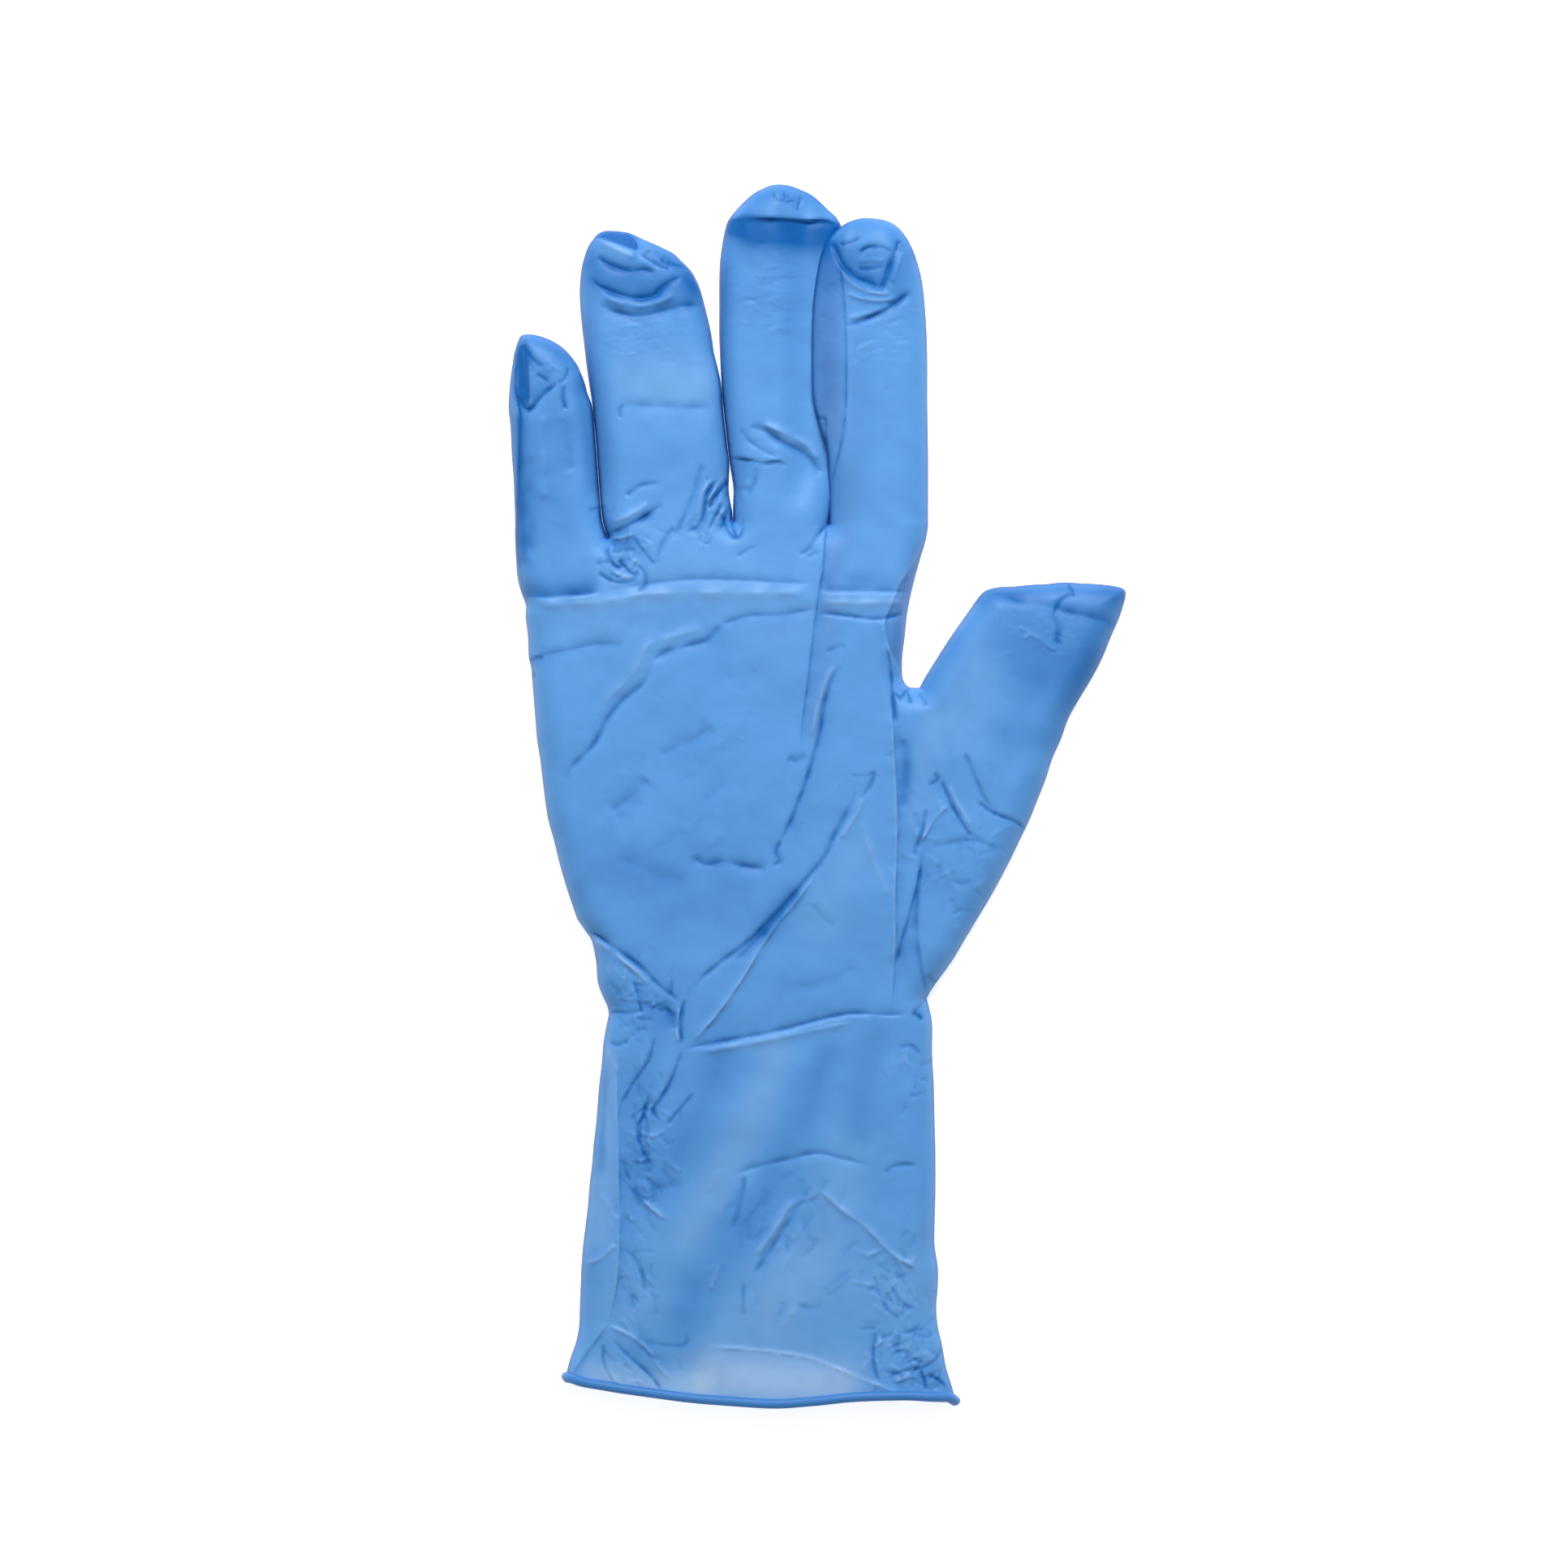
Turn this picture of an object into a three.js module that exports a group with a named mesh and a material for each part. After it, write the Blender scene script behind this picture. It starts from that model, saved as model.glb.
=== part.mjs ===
// A nitrile exam glove with a long cuff, lying as it is laid out flat: one dipped film with a rolled bead at its mouth.
// Millimetres. +Y runs from the mouth to the fingertips, +X towards the thumb, +Z up, and the glove rests on z = 0.
// The glove is drawn as one grid of cells seen from above: a cuff and palm, four fingers and a thumb that branch off it.
// An upper and a lower sheet hang on that grid and meet at the outline, and a second, smaller pair inside them makes
// the hollow for the hand.
import * as THREE from "three";

// The film, its height when it lies flat, and the bead that ends it
const FILM = 1;
const PALM_RISE = 8.2;
const CUFF_RISE = 7.6;
const FINGER_RISE = 7.0;
const THUMB_RISE = 6.6;
const EDGE_HEIGHT = 1.8;
const EDGE_REACH = 11;
const EDGE_INSET = 2;
const CROTCH_INSET = 3.6;
const LEAST_HOLLOW = 0.3;
const BELLY_REACH = 7;
const BEAD_RADIUS = 1.2;

// Cuff and palm
const CUFF_LENGTH = 98.8;
const CUFF_WIDTH = 88;
const CUFF_SHIFT = 9.2;
const MOUTH_SLANT = 7;
const PALM_LENGTH = 116.4;
const PALM_WIDTH = 93;
const THUMB_CROTCH = 76.8;

// Fingers and thumb: lengths are taken from the knuckle line to the tip
const LITTLE_LENGTH = 47.8;
const LITTLE_WIDTH = 22.4;
const RING_LENGTH = 73.4;
const RING_WIDTH = 31.6;
const MIDDLE_LENGTH = 84.8;
const MIDDLE_WIDTH = 31;
const INDEX_LENGTH = 76.4;
const INDEX_WIDTH = 28.2;
const THUMB_LENGTH = 70.5;
const THUMB_WIDTH = 37.6;
const THUMB_ANGLE = THREE.MathUtils.degToRad(27);
const TIP_ROUND = 2.2;

// The index finger lies on the edge of the middle finger, which is pressed flat there
const PRESSED_RISE = 2;
const LIFT_GAP = 0.6;

// Folds of the upper sheet
const FOLD_WIDTH = 6;
const FOLD_HEIGHT = 1.3;

// Cells of the grid: across each finger, along each stretch, and round the bead
const FINGER_CELLS = 5;
const CUFF_ROWS = 19;
const THUMB_ROWS = 15;
const KNUCKLE_ROWS = 8;
const CELL = 5.4;
const BEAD_POINTS = 7;

// Sides of the cuff, as shares of the cuff's length from the mouth and of its width from its middle line
const cuffSections = [
  { along: 0, left: -0.543, right: 0.545 },
  { along: 0.076, left: -0.52, right: 0.528 },
  { along: 0.147, left: -0.507, right: 0.512 },
  { along: 0.249, left: -0.502, right: 0.5 },
  { along: 0.453, left: -0.486, right: 0.491 },
  { along: 0.657, left: -0.464, right: 0.493 },
  { along: 0.861, left: -0.441, right: 0.486 },
  { along: 0.939, left: -0.425, right: 0.484 },
];

// Height of the mouth's line over its lowest place, as a share of its slant, from its left end to its right end
const mouthLine = [
  { along: 0, rise: 0.95 },
  { along: 0.04, rise: 0.75 },
  { along: 0.1, rise: 0.62 },
  { along: 0.26, rise: 0.33 },
  { along: 0.42, rise: 0.1 },
  { along: 0.53, rise: 0 },
  { along: 0.73, rise: 0.16 },
  { along: 0.86, rise: 0.2 },
  { along: 1, rise: 0.09 },
];

// Sides of the palm, as shares of its length from the wrist and of its width from its middle line
const palmSections = [
  { along: 0, left: -0.312, right: 0.542 },
  { along: 0.055, left: -0.333, right: 0.54 },
  { along: 0.124, left: -0.346, right: 0.537 },
  { along: 0.167, left: -0.385, right: 0.535 },
  { along: 0.253, left: -0.419, right: 0.532 },
  { along: 0.399, left: -0.467, right: 0.525 },
  { along: 0.57, left: -0.495, right: 0.516 },
  { along: 0.66, left: -0.504, right: 0.51 },
  { along: 0.697, left: -0.509, right: 0.478 },
  { along: 0.742, left: -0.514, right: 0.48 },
  { along: 0.837, left: -0.525, right: 0.495 },
  { along: 0.914, left: -0.546, right: 0.518 },
];

// Heights of the knuckle line over its own mean, at the left side, the three crotches and the right side
const KNUCKLE_BOW = [-4, -2, 4, 1, -1];

// Fingers from the little one to the index: root is the share of the width that the finger takes of the knuckle line.
// The sides are shares of the finger's width from its left crotch. The tip's arc leaves them at its two ends, and the
// peak is where across the finger that arc is highest.
const fingers = [
  {
    name: "little",
    length: LITTLE_LENGTH,
    width: LITTLE_WIDTH,
    root: 1.036,
    peak: 0.28,
    leftEnd: 0.92,
    rightEnd: 0.87,
    sections: [
      { along: 0.209, left: -0.018, right: 0.964 },
      { along: 0.418, left: -0.036, right: 0.915 },
      { along: 0.628, left: -0.062, right: 0.848 },
      { along: 0.85, left: -0.03, right: 0.69 },
      { along: 0.92, left: 0, right: 0.55 },
    ],
  },
  {
    name: "ring",
    length: RING_LENGTH,
    width: RING_WIDTH,
    root: 0.975,
    peak: 0.22,
    leftEnd: 0.92,
    rightEnd: 0.862,
    sections: [
      { along: 0.136, left: -0.013, right: 0.924 },
      { along: 0.272, left: -0.06, right: 0.899 },
      { along: 0.409, left: -0.101, right: 0.867 },
      { along: 0.545, left: -0.171, right: 0.835 },
      { along: 0.681, left: -0.209, right: 0.791 },
      { along: 0.862, left: -0.218, right: 0.66 },
      { along: 0.92, left: -0.185, right: 0.54 },
    ],
  },
  {
    name: "middle",
    length: MIDDLE_LENGTH,
    width: MIDDLE_WIDTH,
    root: 0.755,
    peak: 0.5,
    leftEnd: 0.877,
    rightEnd: 0.877,
    sections: [
      { along: 0.118, left: 0.006, right: 0.781 },
      { along: 0.236, left: -0.045, right: 0.852 },
      { along: 0.354, left: -0.077, right: 0.884 },
      { along: 0.59, left: -0.11, right: 0.877 },
      { along: 0.755, left: -0.11, right: 0.858 },
      { along: 0.877, left: -0.065, right: 0.832 },
    ],
  },
  {
    name: "index",
    length: INDEX_LENGTH,
    width: INDEX_WIDTH,
    root: 0.865,
    peak: 0.52,
    leftEnd: 0.869,
    rightEnd: 0.869,
    sections: [
      { along: 0.131, left: -0.014, right: 0.872 },
      { along: 0.262, left: -0.057, right: 0.872 },
      { along: 0.393, left: -0.128, right: 0.865 },
      { along: 0.654, left: -0.142, right: 0.858 },
      { along: 0.798, left: -0.114, right: 0.823 },
      { along: 0.869, left: -0.078, right: 0.773 },
    ],
  },
];

// Sides of the thumb in its own leaning frame, as shares of its length and width from the middle of its root
const thumbSections = [
  { along: 0, lowAlong: -0.475, lowAcross: 0.5, highAlong: 0.475, highAcross: -0.5 },
  { along: 0.2, lowAlong: -0.155, lowAcross: 0.554, highAlong: 0.553, highAcross: -0.462 },
  { along: 0.4, lowAlong: 0.15, lowAcross: 0.572, highAlong: 0.63, highAcross: -0.447 },
  { along: 0.6, lowAlong: 0.48, lowAcross: 0.517, highAlong: 0.71, highAcross: -0.432 },
  { along: 0.8, lowAlong: 0.79, lowAcross: 0.505, highAlong: 0.79, highAcross: -0.418 },
  { along: 1, lowAlong: 1.1, lowAcross: 0.462, highAlong: 0.868, highAcross: -0.4 },
];
const THUMB_TIP_BULGE = 0.048;

// Folds, each along a few places of one limb, given across it from its left side and along it from its root.
// The ridge is the height on the line and the step what the left of the line stands over the right.
const folds = [
  { name: "palm_pleat", limb: "palm", path: [[0.73, 0.62], [0.75, 0.86], [0.76, 0.99]], width: 0.8, ridge: 0, step: -0.7 },
  { name: "side_gusset", limb: "palm", path: [[0.97, 0.67], [0.93, 0.83], [0.99, 0.99]], width: 0.7, ridge: 0.2, step: -0.6 },
  { name: "long_fold", limb: "palm", path: [[0.7, 0.36], [0.78, 0.58], [0.83, 0.71]], width: 0.7, ridge: -0.7, step: 0 },
  { name: "diagonal_fold", limb: "palm", path: [[0.24, 0.0], [0.42, 0.12], [0.72, 0.28], [0.87, 0.47]], width: 0.9, ridge: 0.9, step: 0 },
  { name: "diagonal_valley", limb: "palm", path: [[0.27, 0.08], [0.5, 0.26], [0.68, 0.36]], width: 0.8, ridge: -0.7, step: 0 },
  { name: "web_fold", limb: "palm", path: [[0.92, 0.02], [0.93, 0.3], [0.95, 0.64]], width: 0.9, ridge: -0.9, step: 0 },
  { name: "heart_line", limb: "palm", path: [[0.2, 0.56], [0.38, 0.72], [0.7, 0.86]], width: 0.9, ridge: -0.5, step: 0 },
  { name: "left_wrist_fold", limb: "palm", path: [[0.02, 0.15], [0.14, 0.08], [0.24, 0.02]], width: 0.7, ridge: 0.7, step: 0 },
  { name: "knuckle_crease", limb: "palm", path: [[0.0, 0.84], [0.3, 0.85]], width: 0.7, ridge: -0.6, step: 0 },
  { name: "index_crease_high", limb: "palm", path: [[0.76, 0.87], [0.99, 0.87]], width: 0.5, ridge: -0.5, step: 0 },
  { name: "index_crease_low", limb: "palm", path: [[0.76, 0.81], [0.97, 0.81]], width: 0.5, ridge: -0.5, step: 0 },
  { name: "wrist_crease", limb: "cuff", path: [[0.24, 0.9], [0.55, 0.93], [0.99, 0.98]], width: 0.8, ridge: -0.9, step: 0 },
  { name: "cuff_pleat", limb: "cuff", path: [[0.0, 0.05], [0.08, 0.2], [0.09, 0.5], [0.08, 0.9]], width: 0.8, ridge: -0.8, step: 0 },
  { name: "cuff_fold_left", limb: "cuff", path: [[0.2, 0.5], [0.16, 0.7], [0.22, 0.95]], width: 0.8, ridge: 0.7, step: 0 },
  { name: "cuff_fold_middle", limb: "cuff", path: [[0.3, 0.3], [0.62, 0.62]], width: 1.4, ridge: -0.7, step: 0 },
  { name: "cuff_fold_right", limb: "cuff", path: [[0.66, 0.62], [0.88, 0.35]], width: 1.2, ridge: 0.5, step: 0 },
  { name: "thumb_base_fold", limb: "thumb", path: [[0.3, 0.0], [0.52, 0.2], [0.62, 0.1]], width: 0.8, ridge: -0.6, step: 0 },
  { name: "thumb_side_fold", limb: "thumb", path: [[0.2, 0.62], [0.52, 0.3]], width: 0.9, ridge: -0.6, step: 0 },
  { name: "thumb_tip_fold", limb: "thumb", path: [[0.1, 0.86], [0.85, 0.9]], width: 0.8, ridge: -0.6, step: 0 },
  { name: "little_tip_fold", limb: "little", path: [[0.15, 0.97], [0.4, 0.7]], width: 0.8, ridge: -0.9, step: 0 },
  { name: "little_side_fold", limb: "little", path: [[0.1, 0.1], [0.1, 0.85]], width: 0.6, ridge: 0.6, step: 0 },
  { name: "ring_tip_fold", limb: "ring", path: [[0.12, 0.86], [0.5, 0.74], [0.85, 0.83]], width: 0.7, ridge: -0.9, step: 0 },
  { name: "ring_cap_fold", limb: "ring", path: [[0.15, 0.96], [0.85, 0.84]], width: 0.6, ridge: 0.5, step: 0 },
  { name: "middle_cap_fold", limb: "middle", path: [[0.05, 0.86], [0.95, 0.86]], width: 0.7, ridge: -1, step: 0 },
  { name: "middle_low_fold", limb: "middle", path: [[0.62, 0.3], [0.9, 0.2]], width: 0.6, ridge: -0.6, step: 0 },
  { name: "index_tip_fold", limb: "index", path: [[0.18, 0.9], [0.55, 0.74], [0.9, 0.8]], width: 0.7, ridge: -0.9, step: 0 },
];

const ease = (from, to, x) => THREE.MathUtils.smoothstep(x, from, to);
const mix = THREE.MathUtils.lerp;

// A smooth curve through one column of a table whose rows go up by their along value.
function column(rows, key) {
  return (along) => {
    const last = rows.length - 1;
    const after = rows.findIndex((row) => row.along >= along);
    const k = THREE.MathUtils.clamp(after < 0 ? last : after, 1, last);
    const at = (i) => rows[THREE.MathUtils.clamp(i, 0, last)];
    const slope = (i) =>
      (at(i + 1)[key] - at(i - 1)[key]) / (at(i + 1).along - at(i - 1).along);
    const span = at(k).along - at(k - 1).along;
    const t = THREE.MathUtils.clamp((along - at(k - 1).along) / span, 0, 1);
    const out = t * t * (3 - 2 * t);
    const bend = (t - 1) ** 2 * t * slope(k - 1) + (t - 1) * t * t * slope(k);
    return mix(at(k - 1)[key], at(k)[key], out) + span * bend;
  };
}

// The knuckle line: where each finger's root starts and how high it bows, from the little finger to the index
const knuckleWidth = fingers.reduce((sum, f) => sum + f.root * f.width, 0);
const knuckleLeft = -0.503 * knuckleWidth;
const crotches = [knuckleLeft];
for (const f of fingers) crotches.push(crotches.at(-1) + f.root * f.width);
const WRIST = CUFF_LENGTH;
const KNUCKLES = CUFF_LENGTH + PALM_LENGTH;

// The side of the cuff and palm at each height over the mouth
const sideRows = [
  ...cuffSections.map((s) => ({
    along: s.along * CUFF_LENGTH,
    left: CUFF_SHIFT + s.left * CUFF_WIDTH,
    right: CUFF_SHIFT + s.right * CUFF_WIDTH,
  })),
  ...palmSections.map((s) => ({
    along: WRIST + s.along * PALM_LENGTH,
    left: s.left * PALM_WIDTH,
    right: s.right * PALM_WIDTH,
  })),
  { along: KNUCKLES, left: crotches[0], right: crotches.at(-1) },
];
const leftSide = column(sideRows, "left");
const rightSide = column(sideRows, "right");

const ACROSS = fingers.length * FINGER_CELLS;

// A place of the cuff and palm: column 0 to ACROSS, and a height over the mouth. Columns end on the fingers' roots.
function bodyPoint(col, height) {
  const k = Math.min(Math.floor(col / FINGER_CELLS), fingers.length - 1);
  const part = col / FINGER_CELLS - k;
  const rootShare = (mix(crotches[k], crotches[k + 1], part) - knuckleLeft) / knuckleWidth;
  const share = height / KNUCKLES;
  const u = mix(col / ACROSS, rootShare, share);
  const bow = mix(KNUCKLE_BOW[k], KNUCKLE_BOW[k + 1], part);
  const slant = MOUTH_SLANT * column(mouthLine, "rise")(col / ACROSS);
  const y = height + bow * share ** 6 + slant * (1 - share) ** 6;
  return new THREE.Vector2(mix(leftSide(height), rightSide(height), u), y);
}

// A place of a finger: across and along it from 0 to 1. Its last row is the rounded end of the tip.
function fingerPoint(k, across, along) {
  const f = fingers[k];
  const rows = [
    { along: 0, left: 0, right: f.root },
    ...f.sections,
  ];
  const left = column(rows, "left")(along * f.leftEnd);
  const right = column(rows, "right")(along * f.rightEnd);
  const x = mix(left, right, across);
  const end = mix(f.leftEnd, f.rightEnd, across);
  const fromPeak = across < f.peak ? (f.peak - across) / f.peak : (across - f.peak) / (1 - f.peak);
  const dome = (1 - end) * (1 - fromPeak ** TIP_ROUND) * along ** 3;
  const bow = mix(KNUCKLE_BOW[k], KNUCKLE_BOW[k + 1], across) * (1 - along) ** 2;
  return new THREE.Vector2(crotches[k] + x * f.width, KNUCKLES + bow + (along * end + dome) * f.length);
}

// A place of the thumb: across from its wrist side to its crotch side, and along it from 0 to 1.
const wristCorner = bodyPoint(ACROSS, WRIST);
const thumbCrotch = bodyPoint(ACROSS, WRIST + THUMB_CROTCH);
const thumbRoot = wristCorner.clone().add(thumbCrotch).multiplyScalar(0.5);
const thumbColumns = Object.fromEntries(
  ["lowAlong", "lowAcross", "highAlong", "highAcross"].map((key) => [key, column(thumbSections, key)]),
);

function thumbPoint(across, along) {
  const at = (key) => thumbColumns[key](along);
  const bulge = THUMB_TIP_BULGE * along ** 3 * (1 - (2 * across - 1) ** 4);
  const u = mix(at("lowAlong"), at("highAlong"), across) + bulge;
  const v = mix(at("lowAcross"), at("highAcross"), across);
  const point = new THREE.Vector2(v * THUMB_WIDTH, u * THUMB_LENGTH);
  return point.rotateAround(new THREE.Vector2(), -THUMB_ANGLE).add(thumbRoot);
}

// The grid: its knots, each with the limb that it lies on, and its cells, each with four knots in turn
const knots = [];
const cells = [];

function addKnot(point, limb, across, along) {
  knots.push({ x: point.x, y: point.y, limb, across, along });
  return knots.length - 1;
}

function addCells(rows) {
  for (let j = 0; j + 1 < rows.length; j++)
    for (let i = 0; i + 1 < rows[j].length; i++)
      cells.push([rows[j][i], rows[j][i + 1], rows[j + 1][i + 1], rows[j + 1][i]]);
}

// Heights of the rows of knots: they have to fall on the wrist and on the thumb's crotch.
const heights = [];
const stretches = [
  { from: 0, to: WRIST, rows: CUFF_ROWS },
  { from: WRIST, to: WRIST + THUMB_CROTCH, rows: THUMB_ROWS },
  { from: WRIST + THUMB_CROTCH, to: KNUCKLES, rows: KNUCKLE_ROWS },
];
for (const s of stretches) for (let j = 0; j < s.rows; j++) heights.push(mix(s.from, s.to, j / s.rows));
heights.push(KNUCKLES);

const bodyRows = heights.map((height) =>
  Array.from({ length: ACROSS + 1 }, (_, col) =>
    addKnot(bodyPoint(col, height), "body", col / ACROSS, height / KNUCKLES),
  ),
);
addCells(bodyRows);

fingers.forEach((f, k) => {
  const rowCount = Math.round(f.length / CELL);
  const rows = [bodyRows.at(-1).slice(k * FINGER_CELLS, (k + 1) * FINGER_CELLS + 1)];
  for (let j = 1; j <= rowCount; j++) {
    const along = j / rowCount;
    rows.push(
      Array.from({ length: FINGER_CELLS + 1 }, (_, i) =>
        addKnot(fingerPoint(k, i / FINGER_CELLS, along), f.name, i / FINGER_CELLS, along),
      ),
    );
  }
  addCells(rows);
});

const thumbEdge = bodyRows.slice(CUFF_ROWS, CUFF_ROWS + THUMB_ROWS + 1).map((row) => row.at(-1));
const thumbRowCount = Math.round(THUMB_LENGTH / CELL);
const thumbRows = [thumbEdge];
for (let j = 1; j <= thumbRowCount; j++) {
  const along = j / thumbRowCount;
  thumbRows.push(
    thumbEdge.map((_, i) => addKnot(thumbPoint(i / THUMB_ROWS, along), "thumb", i / THUMB_ROWS, along)),
  );
}
addCells(thumbRows.map((row) => [...row].reverse()));

// The outline: the grid's edges with a cell on one side only, apart from the mouth
const sides = new Map();
for (const cell of cells)
  cell.forEach((a, i) => {
    const b = cell[(i + 1) % cell.length];
    sides.set(a + "," + b, [a, b]);
  });
const mouth = bodyRows[0];
const mouthSet = new Set(mouth);
const rim = [...sides.values()].filter(([a, b]) => !sides.has(b + "," + a));
const outline = rim.filter(([a, b]) => !(mouthSet.has(a) && mouthSet.has(b)));
const onOutline = new Set(outline.flat());

// The outline's outward direction at each of its knots
for (const i of onOutline) {
  const out = new THREE.Vector2();
  for (const [a, b] of outline)
    if (a === i || b === i) {
      const edge = new THREE.Vector2(knots[b].x - knots[a].x, knots[b].y - knots[a].y).normalize();
      out.add(new THREE.Vector2(edge.y, -edge.x));
    }
  knots[i].out = out.normalize();
}
const crotchKnots = [1, 2, 3].map((k) => bodyRows.at(-1)[k * FINGER_CELLS]);
for (const i of crotchKnots) knots[i].out.set(0, 1);
for (const [end, next] of [[mouth[0], mouth[1]], [mouth.at(-1), mouth.at(-2)]])
  knots[end].out.set(knots[end].x - knots[next].x, knots[end].y - knots[next].y).normalize();

function toSegment(p, a, b) {
  const ab = new THREE.Vector2().subVectors(b, a);
  const t = THREE.MathUtils.clamp(new THREE.Vector2().subVectors(p, a).dot(ab) / ab.lengthSq(), 0, 1);
  const foot = ab.clone().multiplyScalar(t).add(a);
  const cross = ab.x * (p.y - a.y) - ab.y * (p.x - a.x);
  return { distance: foot.distanceTo(p), left: cross > 0, end: t === 0 || t === 1 };
}

// How far a knot lies from the outline of its own limb or of the palm
function fromOutline(knot) {
  let nearest = Infinity;
  for (const [a, b] of outline) {
    const limbs = new Set([knots[a].limb, knots[b].limb, "body"]);
    if (knot.limb !== "body" && !limbs.has(knot.limb)) continue;
    if (knot.limb !== "body" && limbs.size > 1 && !limbs.has(knot.limb)) continue;
    const other = knots[a].limb !== "body" ? knots[a].limb : knots[b].limb;
    if (knot.limb !== "body" && other !== "body" && other !== knot.limb) continue;
    nearest = Math.min(nearest, toSegment(knot, knots[a], knots[b]).distance);
  }
  return nearest;
}

// A fold's places on the glove, in millimetres
function foldPoint(limb, [across, along]) {
  if (limb === "thumb") return thumbPoint(across, along);
  if (limb === "cuff") return bodyPoint(across * ACROSS, along * CUFF_LENGTH);
  if (limb === "palm") return bodyPoint(across * ACROSS, WRIST + along * PALM_LENGTH);
  return fingerPoint(
    fingers.findIndex((f) => f.name === limb),
    across,
    along,
  );
}
const foldLines = folds.map((fold) => ({
  ...fold,
  points: fold.path.map((place) => foldPoint(fold.limb, place)),
  own: fold.limb === "cuff" || fold.limb === "palm" ? "body" : fold.limb,
}));

// What the folds add to the upper sheet at a knot
function foldHeight(knot) {
  let height = 0;
  for (const fold of foldLines) {
    if (fold.own !== knot.limb && knot.limb !== "body") continue;
    let near = { distance: Infinity, left: false };
    for (let i = 0; i + 1 < fold.points.length; i++) {
      const hit = toSegment(knot, fold.points[i], fold.points[i + 1]);
      if (hit.distance < near.distance) near = hit;
    }
    const share = near.distance / (fold.width * FOLD_WIDTH);
    height += fold.ridge * FOLD_HEIGHT * Math.exp(-(share ** 2));
    if (near.left && !near.end) height += fold.step * FOLD_HEIGHT * Math.exp(-share / 2);
  }
  return height;
}

// How much the film rises over its edge at each limb
function riseAt(knot) {
  if (knot.limb === "body") {
    const palm = mix(CUFF_RISE, PALM_RISE, ease(0.3, 0.6, knot.along));
    return mix(palm, FINGER_RISE, ease(0.86, 1.04, knot.along));
  }
  if (knot.limb === "thumb") return mix(PALM_RISE, THUMB_RISE, ease(0, 0.5, knot.along));
  return FINGER_RISE;
}

// The middle finger is pressed flat where the index finger lies on it, and the index finger is lifted over it.
const index = fingers.find((f) => f.name === "index");
const pressedHeight = EDGE_HEIGHT + PRESSED_RISE;
const overlapShare = -Math.min(...index.sections.map((s) => s.left)) * 2;

function lift(knot) {
  if (knot.limb !== "index") return 0;
  const across = 1 - ease(overlapShare * 0.9, overlapShare * 1.62, knot.across);
  return (pressedHeight + LIFT_GAP) * across * ease(0.01, 0.22, knot.along);
}

function pressed(knot) {
  return knot.limb === "middle" ? ease(0.56, 0.7, knot.across) * ease(0, 0.14, knot.along) : 0;
}

// Outer heights of both sheets at a knot, if it lies a given distance inside the outline
function sheetHeights(knot, inside) {
  const dome = 1 - (1 - Math.min(inside / EDGE_REACH, 1)) ** 2;
  const belly = (1 - Math.min(inside / BELLY_REACH, 1)) ** 2;
  const raised = lift(knot);
  const rise = mix(riseAt(knot) - 0.55 * raised, PRESSED_RISE, pressed(knot));
  const bead = BEAD_RADIUS - FILM / 2;
  const overBead = knot.limb === "body" ? bead * (1 - ease(0, 0.05, knot.along)) : 0;
  const low = EDGE_HEIGHT * belly + raised + overBead * (1 - belly);
  const high = EDGE_HEIGHT + raised + rise * dome + foldHeight(knot) * dome * (1 - pressed(knot));
  return { low, high };
}

// Corner points of both sheets: the outline's knots have one each, which both sheets share.
function sheetPoints() {
  const points = [];
  const heights = knots.map((knot, i) => sheetHeights(knot, onOutline.has(i) ? 0 : fromOutline(knot)));
  const upper = knots.map((knot, i) => points.push(new THREE.Vector3(knot.x, knot.y, heights[i].high)) - 1);
  const lower = knots.map((knot, i) =>
    onOutline.has(i) ? upper[i] : points.push(new THREE.Vector3(knot.x, knot.y, heights[i].low)) - 1,
  );
  return { points, upper, lower };
}

function sheetFaces(upper, lower) {
  const faces = [];
  for (const [a, b, c, d] of cells) {
    for (const [p, q, r] of [[a, b, c], [a, c, d]]) {
      faces.push([upper[p], upper[q], upper[r]]);
      faces.push([lower[r], lower[q], lower[p]]);
    }
  }
  return faces;
}

function pointNormals(points, faces) {
  const normals = points.map(() => new THREE.Vector3());
  for (const [a, b, c] of faces) {
    const normal = new THREE.Triangle(points[a], points[b], points[c]).getNormal(new THREE.Vector3());
    for (const i of [a, b, c]) normals[i].add(normal);
  }
  return normals.map((n) => n.normalize());
}

// How far the nearest knot inside the outline lies from a knot on it
const insideOf = new Map([...onOutline].map((i) => [i, []]));
for (const cell of cells)
  for (const i of cell)
    if (onOutline.has(i)) insideOf.get(i).push(...cell.filter((j) => !onOutline.has(j)));

function nearestInside(i) {
  const gaps = insideOf.get(i).map((j) => Math.hypot(knots[i].x - knots[j].x, knots[i].y - knots[j].y));
  return Math.min(CELL, ...gaps);
}

// The height half-way between the outer sheets at a place close to a knot on the outline
function heightBetween(place, points, upper, lower, knot) {
  const flat = (i) => new THREE.Vector3(knots[i].x, knots[i].y, 0);
  const weights = new THREE.Vector3();
  for (const [a, b, c, d] of cells) {
    if (Math.abs(knots[a].x - place.x) > 3 * CELL || Math.abs(knots[a].y - place.y) > 3 * CELL) continue;
    if (![a, b, c, d].some((i) => knots[i].limb === knot.limb)) continue;
    for (const corners of [[a, b, c], [a, c, d]]) {
      const level = new THREE.Vector3(place.x, place.y, 0);
      if (!THREE.Triangle.getBarycoord(level, ...corners.map(flat), weights)) continue;
      if (Math.min(weights.x, weights.y, weights.z) < -1e-6) continue;
      const middles = corners.map((i) => (points[upper[i]].z + points[lower[i]].z) / 2);
      return middles[0] * weights.x + middles[1] * weights.y + middles[2] * weights.z;
    }
  }
  return place.z;
}

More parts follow.
